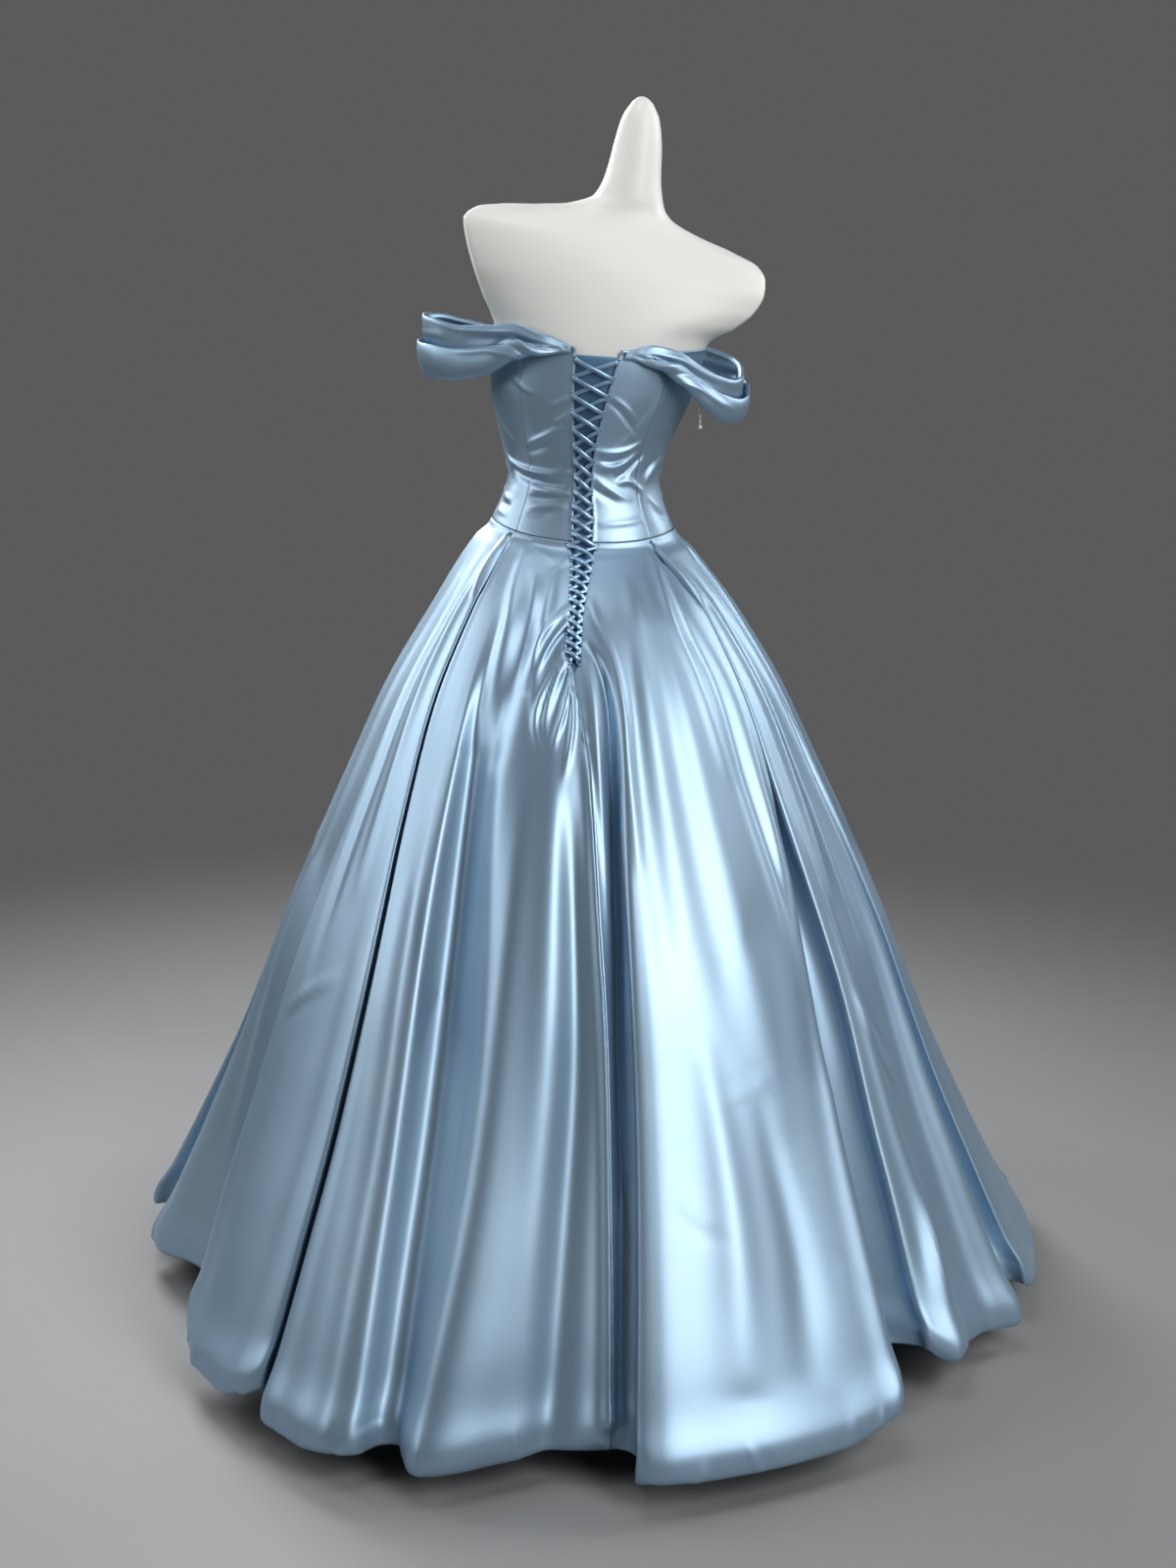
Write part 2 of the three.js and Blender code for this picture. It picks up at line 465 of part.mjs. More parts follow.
function stand() {
  const top = BASE_RADIUS - BASE_BEVEL;
  const plate = new THREE.CylinderGeometry(top, BASE_RADIUS, BASE_THICKNESS, BASE_SIDES);
  const foot = add("stand_base", plate, STEEL);
  foot.rotation.x = Math.PI / 2;
  foot.position.z = BASE_THICKNESS / 2;
  const length = FORM[0].height - BASE_THICKNESS - 2 * SEAM;
  const tube = new THREE.CylinderGeometry(POLE_RADIUS, POLE_RADIUS, length, POLE_SIDES);
  const pole = add("stand_pole", tube, STEEL);
  pole.rotation.x = Math.PI / 2;
  pole.position.z = BASE_THICKNESS + SEAM + length / 2;
}

// Angle on the body at which a point lies so far to the right of the centre back line.
function angleAt(right, height) {
  const half = read(FORM, "height", "half", height) + BODICE_OFF_FORM + CLOTH;
  return THREE.MathUtils.radToDeg(Math.asin(clamp(right / half, -1, 1)));
}

// Angle of a laced back edge of the bodice: side is 1 for the right edge, -1 for the left.
function lacedEdge(side, height) {
  return angleAt(side * read(LACED_GAP, "height", "half", height), height);
}

function bodicePiece({ from, to, columns }) {
  const grid = [];
  const inner = [];
  for (let i = 0; i < BODICE_ROWS; i++) {
    const row = [];
    const innerRow = [];
    for (let j = 0; j < columns; j++) {
      const share = j / (columns - 1);
      const rough = mix(from, to, share);
      const high = mix(neckHeight(rough), waistHeight(rough), i / (BODICE_ROWS - 1));
      const start = from === 0 ? lacedEdge(1, high) : from;
      const end = to === 0 ? lacedEdge(-1, high) : to;
      const seam = THREE.MathUtils.radToDeg(SEAM / 2 / SEAM_RADIUS);
      const angle = mix(start + (from === 0 ? 0 : seam), end - (to === 0 ? 0 : seam), share);
      const height = mix(neckHeight(angle), waistHeight(angle), i / (BODICE_ROWS - 1));
      row.push(onForm(angle, height, BODICE_OFF_FORM + CLOTH));
      innerRow.push(onForm(angle, height, BODICE_OFF_FORM));
    }
    grid.push(row);
    inner.push(innerRow);
  }
  return clothWall(grid, CLOTH, 0, inner);
}

// Skirt
const skirtHalf = (height) => read(SKIRT, "height", "half", height);
const skirtDeep = (height) => read(SKIRT, "height", "deep", height);

// A point of the skirt's outline at an angle, moved in by depth. Near the waist the outline
// follows the tilted, oval body, lower down it is round.
function onSkirt(angle, height, depth) {
  const a = rad(angle);
  const near = ease((height - HIP) / (WAIST_SIDE - HIP));
  const drop = near * (waistHeight(angle) - WAIST_SIDE);
  const across = (skirtHalf(height) - depth) * Math.sin(a);
  const back = (skirtDeep(height) - depth) * Math.cos(a);
  const free = new THREE.Vector3(-across, back, height + drop);
  free.z -= across * Math.sin(rad(WAIST_ROLL) * near);
  const off = BODICE_OFF_FORM + CLOTH + SKIRT_PROUD - depth;
  const seated = onForm(angle, Math.min(height + drop, WAIST_SIDE), off);
  return free.lerp(seated, ease((height - SEATED_FROM) / (WAIST_SIDE - SEATED_FROM)));
}

function foldAngle(fold, height) {
  const hips = ease((height - HIP) / (WAIST_SIDE - HIP));
  if (height > HIP) return mix(fold.hip, fold.waist, hips);
  if (height > KNEE) return mix(fold.knee, fold.hip, (height - KNEE) / (HIP - KNEE));
  return mix(fold.hem, fold.knee, clamp((height - FLOOR_TO_HEM) / (KNEE - FLOOR_TO_HEM), 0, 1));
}

function foldDepth(fold, height) {
  const [hip, knee, hem] = fold.depth;
  const start = ease((fold.top - height) / fold.grow);
  if (height > HIP) return hip * start;
  if (height > KNEE) return mix(knee, hip, (height - KNEE) / (HIP - KNEE)) * start;
  return mix(hem, knee, clamp((height - FLOOR_TO_HEM) / (KNEE - FLOOR_TO_HEM), 0, 1));
}

// The points of a fold across its run at a height.
function foldPoints(fold, height) {
  const middle = foldAngle(fold, height);
  const depth = foldDepth(fold, height);
  const share = depth / fold.depth[2];
  const sunk = share ** 2 * ease((SINK_TOP - height) / SINK_GROW);
  const upper = fold.upper * sunk;
  const lower = fold.lower * sunk;
  const folded = ease(depth / FOLDED_FROM);
  const turned = (row) => {
    const under = THREE.MathUtils.radToDeg((row.under * depth) / skirtHalf(height));
    return mix(row.flat * fold.width, row.folded * fold.width + under, folded);
  };
  const point = (row, turn, floor) => ({
    angle: middle + turn,
    depth: row.sunk * depth + (1 - row.sunk) * floor - row.proud * fold.ridge * share,
    lift: row.lift * fold.lift,
    room: row.room,
  });
  if (fold.kind === "lap") {
    const points = LAP.map((row, i) =>
      point(row, fold.over * (row.on * fold.on + row.off * fold.under + turned(row)),
        i > LAP_SEAM ? lower : upper));
    return fold.over > 0 ? points : points.reverse();
  }
  const grown = clamp((OPEN_TOP - height) / (OPEN_TOP - FLOOR_TO_HEM), 0, 1);
  const open = BOX_CLOSED + fold.open * ease(grown * BOX_OPENS);
  const half = (side, reach, floor) =>
    BOX.map((row) => point(row, side * (row.on * reach + open * row.open + turned(row)), floor));
  return [...half(-1, fold.on, upper), ...half(1, fold.under, lower).reverse()];
}

// Angle of an edge of the skirt at the centre back: side is 1 for the right piece's edge.
function backSeam(side, height) {
  const reach = skirtDeep(height);
  if (height < LACED_GAP[0].height) {
    const middle = read(BACK_SEAM, "height", "angle", height);
    return middle + side * THREE.MathUtils.radToDeg(SEAM / 2 / reach);
  }
  const half = read(LACED_GAP, "height", "half", height);
  return read(LACED_GAP, "height", "middle", height) + side * THREE.MathUtils.radToDeg(half / reach);
}

// The skirt's whole section at a height: every fold's points and one between each two folds.
// At a seam there are two, each with the seam's name and its side.
function skirtSection(height) {
  const gap = THREE.MathUtils.radToDeg(SEAM / 2 / skirtHalf(height));
  const between = (a, b, share, extra) => ({
    angle: mix(a.angle, b.angle, share),
    depth: mix(a.depth, b.depth, share),
    lift: mix(a.lift, b.lift, share),
    room: mix(a.room, b.room, share),
    ...extra,
  });
  const atAngle = (a, b, angle, extra) => between(a, b, (angle - a.angle) / (b.angle - a.angle), extra);
  const runs = FOLDS.map((fold) => {
    const points = foldPoints(fold, height);
    if (fold.name === "centre_back") {
      const edges = [backSeam(-1, height), backSeam(1, height)];
      points[1].angle = Math.min(points[1].angle, edges[0] - SEAM_ROOM);
      points[0].angle = Math.min(points[0].angle, points[1].angle - SEAM_ROOM);
      const seam = edges.map((angle, i) =>
        atAngle(points[1], points[2], angle, { seam: "centre_back", side: 2 * i - 1 }));
      return points.toSpliced(2, 0, ...seam);
    }
    const last = fold.kind === "box" ? BOX_SEAM : LAP_SEAM;
    const cut = fold.over > 0 ? last : points.length - 2 - last;
    const [a, b] = [points[cut], points[cut + 1]];
    const middle = (a.angle + b.angle) / 2;
    const turn = Math.sign(b.angle - a.angle);
    const seam = [-1, 1].map((side) =>
      atAngle(a, b, middle + side * turn * gap, { seam: fold.name, side }));
    return SKIRT_PIECES.some(({ from, to }) => from === fold.name || to === fold.name)
      ? points.toSpliced(cut + 1, 0, ...seam)
      : points;
  });
  return runs.flatMap((run, k) => {
    const next = runs[(k + 1) % runs.length][0];
    const round = k + 1 === runs.length ? 360 : 0;
    return [...run, between(run.at(-1), { ...next, angle: next.angle + round }, 0.5)];
  });
}

// Rows of the skirt from the waist to the inner edge of the turned hem.
function skirtRows() {
  const lifted = (height) => ease((LIFT_TOP - height) / (LIFT_TOP - FLOOR_TO_HEM));
  const upper = SKIRT_ROWS.map((height) =>
    skirtSection(height).map((p) => ({
      ...p,
      at: onSkirt(p.angle, height + p.lift * lifted(height), p.depth),
    })),
  );
  const hem = HEM_ROWS.map(({ turned, plain, tuck }) => {
    const height = FLOOR_TO_HEM + turned;
    return skirtSection(height).map((p) => {
      const over = mix(plain, turned, p.room) + p.lift * lifted(height);
      return { ...p, at: onSkirt(p.angle, FLOOR_TO_HEM + over, p.depth + tuck * HEM_TURN * p.room) };
    });
  });
  return [...upper, ...hem];
}

function skirt() {
  const rows = skirtRows();
  const count = rows[0].length;
  const find = (name, side) => rows[0].findIndex((p) => p.seam === name && p.side === side);
  for (const { name, from, to } of SKIRT_PIECES) {
    const first = find(from, 1);
    const last = find(to, -1);
    const columns = ((last - first + count) % count) + 1;
    const grid = rows.map((row) =>
      Array.from({ length: columns }, (_, j) => row[(first + j) % count].at));
    add(name, clothWall(grid, CLOTH), SATIN);
  }
}

// The laced back is measured down the cloth: above WAIST_SIDE lies the bodice, whose lower edge
// dips there, and below it the skirt.
const backHeight = (along) => (along > WAIST_SIDE ? along - WAIST_BACK_DIP : along);
const gapHalf = (along) => read(LACED_GAP, "height", "half", backHeight(along));

// A point of the laced back, so far right of the middle of the gap.
function onBack(right, along) {
  const height = backHeight(along);
  if (along > WAIST_SIDE) return onForm(angleAt(right, height), height, BODICE_OFF_FORM + CLOTH);
  const middle = read(LACED_GAP, "height", "middle", height);
  return onSkirt(middle + THREE.MathUtils.radToDeg(right / skirtDeep(height)), height, 0);
}

function modestyPanel() {
  const bodice = Array.from({ length: BODICE_ROWS - 1 }, (_, i) => {
    const height = mix(neckHeight(0), waistHeight(0), i / (BODICE_ROWS - 1));
    return Math.min(height, PANEL_TOP) + WAIST_BACK_DIP;
  });
  const skirt = SKIRT_ROWS.filter((height) => height > PANEL_BOTTOM);
  const grid = [...bodice, ...skirt, PANEL_BOTTOM].map((along) => {
    const reach = gapHalf(along) + PANEL_UNDER;
    return [-1, -0.5, 0, 0.5, 1].map((share) => onBack(share * reach, along));
  });
  return clothWall(grid, MODESTY_WALL, CLOTH + MODESTY_GAP);
}

// One run of the lace: it starts at the left edge (side -1) or the right (side 1), and lies over
// the other run at every second crossing.
function laceRun(side) {
  const points = [];
  for (let row = 0; row <= LACE_ROWS; row++) {
    for (const part of row < LACE_ROWS ? LACE_PARTS : [0]) {
      const t = (row + part) / LACE_ROWS;
      const along = mix(LACE_TOP + WAIST_BACK_DIP, LACE_BOTTOM, t + LACE_SPREAD * t * (1 - t));
      const turn = side * (row % 2 ? 1 : -1);
      const right = turn * (2 * part - 1) * (gapHalf(along) + LACE_ON_EDGE);
      const over = turn > 0 && part > 0 ? LACE_THICK + LACE_GAP : 0;
      const down = onBack(right, along - LACE_LEVEL).sub(onBack(right, along + LACE_LEVEL));
      const out = down.cross(onBack(right + 2, along).sub(onBack(right - 2, along))).normalize();
      const at = onBack(right, along).addScaledVector(out, LACE_GAP + LACE_THICK / 2 + over);
      points.push({ at, out });
    }
  }
  return points;
}

function laceSolid(run) {
  const rings = run.map(({ at, out }, k) => {
    const before = run[Math.max(k - 1, 0)].at;
    const after = run[Math.min(k + 1, run.length - 1)].at;
    const wide = out.clone().cross(after.clone().sub(before)).setLength(LACE_WIDE / 2);
    const thick = out.clone().setLength(LACE_THICK / 2);
    return [[-1, -1], [1, -1], [1, 1], [-1, 1]].map(([w, t]) =>
      at.clone().addScaledVector(wide, w).addScaledVector(thick, t));
  });
  return ringSolid(rings, run[0].at, run.at(-1).at);
}

// A sleeve: the folded band swept round the arm.
function sleeve(stations, side) {
  const table = stations.map((station, i) => ({ ...station, i }));
  const last = table.length - 1;
  const at = (column, t) => read(table, "i", column, t);
  const grid = BAND.map(() => []);
  for (let k = 0; k <= SLEEVE_STEPS; k++) {
    const t = (last * k) / SLEEVE_STEPS;
    const along = new THREE.Vector2(
      at("right", t + STATION_STEP) - at("right", t - STATION_STEP),
      at("back", t + STATION_STEP) - at("back", t - STATION_STEP),
    ).normalize();
    const out = new THREE.Vector2(-along.y, along.x).multiplyScalar(side);
    BAND.forEach((row, i) => {
      const fold = at("fold", t);
      const down = mix(row.flatDown, row.down, fold);
      const proud = mix(row.flat, row.out, fold) + at("lean", t) * down;
      const height = at("height", t) - down * at("tall", t);
      const free = new THREE.Vector3(
        -(at("right", t) + out.x * proud),
        at("back", t) + out.y * proud,
        height,
      );
      const off = BODICE_OFF_FORM + 2 * CLOTH + SEAM + proud;
      grid[i].push(free.lerp(onForm(at("angle", t), height, off), at("hug", t)));
    });
  }
  if (side < 0) grid.forEach((row) => row.reverse());
  return clothWall(grid, CLOTH);
}

add("dress_form", dressForm(), SHELL);
stand();
for (const piece of BODICE) add(piece.name, bodicePiece(piece), SATIN);
add("modesty_panel", modestyPanel(), SATIN);
skirt();
add("sleeve_left", sleeve(SLEEVE_LEFT, -1), SATIN);
add("sleeve_right", sleeve(SLEEVE_RIGHT, 1), SATIN);
add("lace_from_left", laceSolid(laceRun(-1)), LACE_SATIN);
add("lace_from_right", laceSolid(laceRun(1)), LACE_SATIN);

export default gown;
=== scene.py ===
import math

import bpy
import numpy as np
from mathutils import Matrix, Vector


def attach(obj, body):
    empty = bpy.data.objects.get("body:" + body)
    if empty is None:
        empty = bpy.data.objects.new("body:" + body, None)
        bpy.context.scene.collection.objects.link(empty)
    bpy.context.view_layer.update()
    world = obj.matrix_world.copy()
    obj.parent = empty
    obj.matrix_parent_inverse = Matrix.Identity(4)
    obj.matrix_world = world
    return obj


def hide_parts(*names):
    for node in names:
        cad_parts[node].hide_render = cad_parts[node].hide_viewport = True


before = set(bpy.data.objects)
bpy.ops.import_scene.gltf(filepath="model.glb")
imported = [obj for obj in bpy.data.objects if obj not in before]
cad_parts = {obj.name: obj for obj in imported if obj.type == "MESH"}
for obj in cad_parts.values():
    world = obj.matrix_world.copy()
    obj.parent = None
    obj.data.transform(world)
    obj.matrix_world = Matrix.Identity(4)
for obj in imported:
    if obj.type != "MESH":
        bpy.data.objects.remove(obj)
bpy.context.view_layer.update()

# An off-shoulder satin ball gown, laced at the back, on a limbless dress form.
# The tables are in millimetres and degrees, as a dressmaker's are; meshes are made in metres.
# Angles run round the body from the centre back (+Y), positive towards the wearer's right (-X).
MM = 0.001

CLOTH = 1.8
SHELL = 1.1  # the satin as it is drawn, folded edges included
SEAM = 0.3
MODESTY_GAP = 0.6
BODICE_OFF_FORM = 2.6
FLOOR_TO_HEM = 38
HEM_TURN = 22
WAIST_SIDE = 1126
WAIST_BACK_DIP = 21
WAIST_FRONT_DIP = 38
WAIST_ROLL = 3.3
WAIST_CURVE = 1.6
SEAM_RADIUS = 105


def table(columns, rows):
    """A table of numbers with named columns."""
    values = np.array(rows, float)
    return {name: values[:, i] for i, name in enumerate(columns.split())}


# The dress form, ring by ring: middle, half width, depths, tilt, squareness and arm cut.
FORM = table("height shift half back front roll turn square cut", [
    (900, 0, 132, 92, 86, 0, 0, 2.2, 0),
    (940, 0, 152, 106, 94, 0, 0, 2.2, 0),
    (990, 0, 161, 113, 99, 1, 0, 2.2, 0),
    (1040, -1, 153, 107, 98, 2, 0, 2.2, 0),
    (1090, -1, 138, 95, 91, 3, 0, 2.15, 0),
    (1130, 0, 122, 84, 84, 3.3, 0, 2.1, 0),
    (1160, 0, 109, 78, 80, 3, 0, 2.1, 0),
    (1190, 1, 102, 76, 80, 2.6, 0, 2.1, 0),
    (1224, 2, 109.5, 80, 84, 2.6, 0, 2.1, 0),
    (1264, 5.5, 122.5, 86, 90, 3, 0, 2.15, 0),
    (1305, 11, 135, 91, 94, 3.5, 0, 2.2, 0),
    (1345, 18, 140, 93, 92, 4, 0, 2.25, 0),
    (1381, 25, 147, 91, 84, 4.8, 1, 2.3, 0.02),
    (1414, 34, 174, 86, 76, 8, 3, 2.3, 0.08),
    (1443, 40, 193, 80, 68, 9.8, 5, 2.35, 0.12),
    (1471, 43, 205, 73, 60, 10.6, 6, 2.4, 0.12),
    (1496, 43, 209, 63, 51, 11.2, 7, 2.4, 0.1),
    (1512, 46, 197, 53, 42, 11, 7, 2.3, 0.04),
    (1524, 48, 162, 47, 38, 11, 7, 2.1, 0),
    (1534, 50, 112, 44, 38, 11, 6, 2, 0),
    (1545, 53, 72, 42, 39, 10, 5, 2, 0),
    (1561, 63, 48, 41, 39, 9, 4, 2, 0),
    (1592, 69, 38, 38, 37, 8, 2, 2, 0),
    (1637, 75.5, 32, 32, 32, 7, 0, 2, 0),
    (1668, 79, 25, 25, 25, 7, 0, 2, 0),
    (1686, 81, 15, 15, 15, 7, 0, 2, 0),
])
FORM_LEVELS = (900, 1500, 1560)
FORM_DOME = 1686.0
FORM_TOP = 1695
FORM_ROWS = (150, 40, 40)
FORM_TURN = 3.0
DOME_ROWS = 12
# The bust: how full, and where it lies and how far it reaches, round the form and up it
BUST_DEPTH = 25
BUST_ROUND = (151, 24)
BUST_UP = (1288, 52)

LACED_GAP = table("height half middle", [
    (948, 0.15, -2.5),
    (956, 4.5, -2.5),
    (975, 7.5, -3),
    (1010, 6, -2.4),
    (1050, 8, -1.8),
    (1105, 10, -0.3),
    (1135, 11.5, 0),
    (1180, 8.5, 0),
    (1224, 11, 0),
    (1260, 14.5, 0),
    (1305, 19, 0),
    (1366, 25, 0),
])
NECKLINE = table("angle height", [
    (0, 1361),
    (40, 1366),
    (75, 1374),
    (105, 1376),
    (140, 1372),
    (158, 1362),
    (180, 1336),
])
BODICE = [
    ("bodice_back_right", 0, 42),
    ("bodice_side_back_right", 42, 92),
    ("bodice_side_front_right", 92, 148),
    ("bodice_front", 148, 212),
    ("bodice_side_front_left", -148, -92),
    ("bodice_side_back_left", -92, -42),
    ("bodice_back_left", -42, 0),
]

SKIRT = table("height half deep", [
    (20, 696, 692),
    (56, 684, 682),
    (136, 640, 644),
    (247, 582, 586),
    (356, 528, 532),
    (450, 488, 490),
    (560, 444, 444),
    (673, 393, 390),
    (790, 337, 330),
    (905, 281, 270),
    (1000, 223, 206),
    (1060, 183, 158),
    (1100, 153, 119),
    (1126, 130, 92),
])
# The hem's roll: heights over the hem where it turns in and where it doesn't, and the turn.
HEM = table("along turned plain tuck", [
    (0, 34, 34, 0),
    (1, 9, 23, 0.04),
    (2, 0, 12, 0.38),
    (3, 4, 1, 1),
])
BACK_SEAM = table("height angle", [
    (40, 3.4),
    (267, 3.9),
    (479, 4.1),
    (640, 3.2),
    (820, 1.7),
    (898, -0.6),
    (950, -2.5),
    (1105, -0.3),
])
# The folds in order round the skirt. Their turns, the angles they lie at, are given at the waist,
# hip, knee and hem, and their depth, and under where it changes, at the hip, knee and hem.
FOLD_COLUMNS = ("name kind over turns width depth ridge upper lower on under lift top grow "
                "soft").split()
FOLDS = [dict(zip(FOLD_COLUMNS, row)) for row in (
    ("front_left", "lap", 1, (-158, -158, -160, -160),
     2.2, (18, 38, 58), 9, 0, 8, 9, 13, 16, 1126, 60, 0),
    ("hip_left", "lap", -1, (-128, -128, -126, -124),
     2.2, (18, 36, 54), 8, 0, 8, 8, 14, 14, 1126, 60, 0),
    ("side_left", "lap", 1, (-102, -100, -97, -96),
     1.8, (9, 26, 50), 8, 6, 32, 8, 7, 20, 1126, 70, 0),
    ("back_side_left", "lap", -1, (-67, -65, -62, -59.5),
     2.4, (9, 32, 160), -6, 38, 44, 7, 26, 40, 1126, 70, 0),
    ("pleat_left", "lap", 1, (-46, -46, -39.5, -39),
     2, (24, 42, 100), 4, 30, 24, 6, 1.5, 30, 1126, 50, 0),
    ("ridge_left", "lap", 1, (-30.5, -31.5, -27.2, -23),
     2.3, (8, 54, 50), 1, 4, 12, 7.5, (11, 11.5, 5.5), 8, 1080, 200, 0.6),
    ("centre_back", "lap", -1, (12, 8.2, 8, 5.4),
     1.7, (6, 42, 88), 6, 8, 58, 8, 14, 4, 935, 200, 0),
    ("pleat_right", "box", 1, (43, 51.5, 46.5, 42.5),
     1.7, (24, 48, 92), 3, 12, 60, 9, 13, 34, 1126, 50, 0),
    ("back_side_right", "lap", -1, (78, 76, 74, 71.5),
     1.8, (6, 22, 58), 2, 14, 20, 8, 6, 24, 1126, 70, 0),
    ("side_right", "lap", 1, (104, 105, 106, 107),
     2.2, (14, 34, 52), 8, -4, 8, 8, 12, 14, 1126, 60, 0),
    ("hip_right", "lap", 1, (133, 133, 132, 131),
     2.2, (18, 36, 54), 8, 0, 8, 7, 11, 14, 1126, 60, 0),
    ("front_right", "lap", -1, (160, 160, 161, 161),
     2.2, (18, 38, 58), 9, 0, 8, 9, 11, 16, 1126, 60, 0),
)]
# A lap's points from the upper cloth round to the lower one, and half of an inverted pleat's.
LAP = table("on off flat folded under sunk proud lift room", [
    (-1, 0, 0, 0, 0, 0, 0, 0, 1),
    (0, 0, -1.6, -1.4, 0, 0, 1, 0.35, 0.6),
    (0, 0, -0.9, 0, 0, 0.06, 0.6, 1, 0.2),
    (0, 0, -0.3, 0, -0.09, 0.32, 0, 1, 0),
    (0, 0, 0.1, 0, -0.15, 0.6, 0, 1, 0),
    (0, 0, 0.5, 0, -0.04, 0.88, 0, 1, 0),
    (0, 0, 1.2, 0.6, 0.06, 0.97, 0, 0.8, 0.2),
    (0, 0.65, 0, 0, 0, 0.5, 0, 0.3, 0.6),
    (0, 1, 0, 0, 0, 0, 0, 0, 1),
])
LAP_SEAM = 5
LAP_BOTTOM = 5
BOX = table("on open flat folded under sunk proud lift room", [
    (1, 0.5, 0, 0, 0, 0, 0, 0, 1),
    (0, 0.5, 1.9, 1.4, 0, 0, 1, 0.35, 0.6),
    (0, 0.5, 1.1, 0, 0, 0.06, 0.4, 1, 0.2),
    (0, 0.5, 0.6, 0, 0.04, 0.55, 0, 1, 0),
    (0, 0.35, 0.2, 0.1, 0, 1, 0, 1, 0.2),
])
BOX_SEAM = 4
HIP = 1000
KNEE = 520
OPEN_TOP = 860
SINK_TOP = 940
SINK_GROW = 400
FOLDED_FROM = 26
LIFT_TOP = 300
SEATED_FROM = 1100
SKIRT_PROUD = 0.4
BOX_CLOSED = 0.4
BOX_OPEN = 10
BOX_OPENS = 2
SEAM_ROOM = 2
SKIRT_PIECES = [
    ("skirt_back_right", "centre_back", "pleat_right"),
    ("skirt_side_right", "pleat_right", "hip_right"),
    ("skirt_front", "hip_right", "hip_left"),
    ("skirt_side_left", "hip_left", "pleat_left"),
    ("skirt_back_left", "pleat_left", "centre_back"),
]

# The folded sleeve bands, station by station from the centre back round the arm to the front.
SLEEVE_LEFT = table("right back height tall lean fold hug angle", [
    (-9, 101, 1362, 9, 0, 0, 1, -12),
    (-32, 101, 1373, 20, 1, 0.1, 0.5, -22),
    (-60, 96, 1385, 34, 3, 0.4, 0, -34),
    (-92, 86, 1396, 52, 6, 0.8, 0, -50),
    (-126, 72, 1393, 66, 5, 1, 0, -70),
    (-164, 58, 1393, 73, 0, 1, 0, -80),
    (-198, 44, 1401, 79, -6, 1, 0, -90),
    (-218, 16, 1408, 83, -8, 1, 0, -90),
    (-220, -20, 1413, 83, -8, 1, 0, -90),
    (-203, -53, 1415, 80, -6, 1, 0, -100),
    (-170, -76, 1408, 74, 0, 1, 0, -120),
    (-134, -91, 1400, 64, 5, 0.9, 0, -130),
    (-100, -104, 1391, 48, 9, 0.6, 0, -140),
    (-68, -106, 1380, 28, 6, 0.2, 0.4, -150),
    (-40, -100, 1369, 11, 0, 0, 1, -158),
])
SLEEVE_RIGHT = table("right back height tall lean fold hug angle", [
    (47, 100, 1359, 9, 0, 0, 1, 12),
    (72, 98, 1366, 20, 1, 0.1, 0.5, 22),
    (98, 92, 1367, 33, 3, 0.4, 0, 34),
    (128, 81, 1360, 47, 8, 0.8, 0, 50),
    (158, 68, 1341, 57, 8, 1, 0, 70),
    (185, 54, 1327, 61, 2, 1, 0, 80),
    (207, 36, 1321, 60, -4, 1, 0, 90),
    (221, 8, 1328, 60, -8, 1, 0, 90),
    (222, -24, 1341, 64, -6, 1, 0, 90),
    (214, -54, 1353, 70, 4, 1, 0, 100),
    (190, -76, 1364, 68, 6, 1, 0, 120),
    (162, -92, 1372, 60, 8, 0.9, 0, 130),
    (132, -105, 1375, 46, 9, 0.6, 0, 140),
    (104, -108, 1371, 28, 6, 0.2, 0.4, 150),
    (78, -100, 1364, 11, 0, 0, 1, 158),
])
# The band's profile from its top edge down, pleated and where the pleat has run out.
BAND = table("out down flat flatDown", [
    (-5, 0.1, 0, 0),
    (-2.5, 0.02, 0.3, 0.07),
    (1.5, 0.0, 0.6, 0.14),
    (3.5, 0.12, 0.8, 0.22),
    (2.5, 0.36, 0.9, 0.3),
    (0.5, 0.58, 1, 0.38),
    (3.5, 0.66, 1, 0.45),
    (7, 0.58, 1, 0.52),
    (9, 0.46, 1, 0.58),
    (12.5, 0.42, 1, 0.65),
    (15, 0.52, 1, 0.72),
    (15, 0.74, 0.9, 0.79),
    (11.5, 0.93, 0.7, 0.86),
    (6, 1.0, 0.4, 0.93),
    (1, 0.95, 0, 1),
])

LACE_ROWS = 23
LACE_TOP = 1346
LACE_BOTTOM = 960
LACE_SPREAD = 0.35
LACE_WIDE = 5.8
LACE_THICK = 3.0
LACE_PARTS = (0, 0.27, 0.73)
LACE_GAP = 0.95
LACE_LEVEL = 8
LACE_ON_EDGE = 0.8
LACE_STEPS = 6
LOOP_HALF = 4.2
LOOP_REACH = 5.5
LOOP_ROOT = 3.5
LOOP_OUT = 1.25
LOOP_THICK = 2.4
PANEL_TOP = 1352
PANEL_BOTTOM = 944
PANEL_UNDER = 7
PANEL_SHELL = 0.9
PANEL_ROWS = 130
PANEL_COLUMNS = 15

# Reading tables and drawing curves


def ease(x):
    x = np.clip(x, 0, 1)
    return x * x * (3 - 2 * x)


def mix(a, b, share):
    return a + (b - a) * share


def swell(distance, at):
    """A rounded rise from 0 to 1 and back, given where it lies and how far it reaches."""
    return np.exp(-(((distance - at[0]) / at[1]) ** 2))


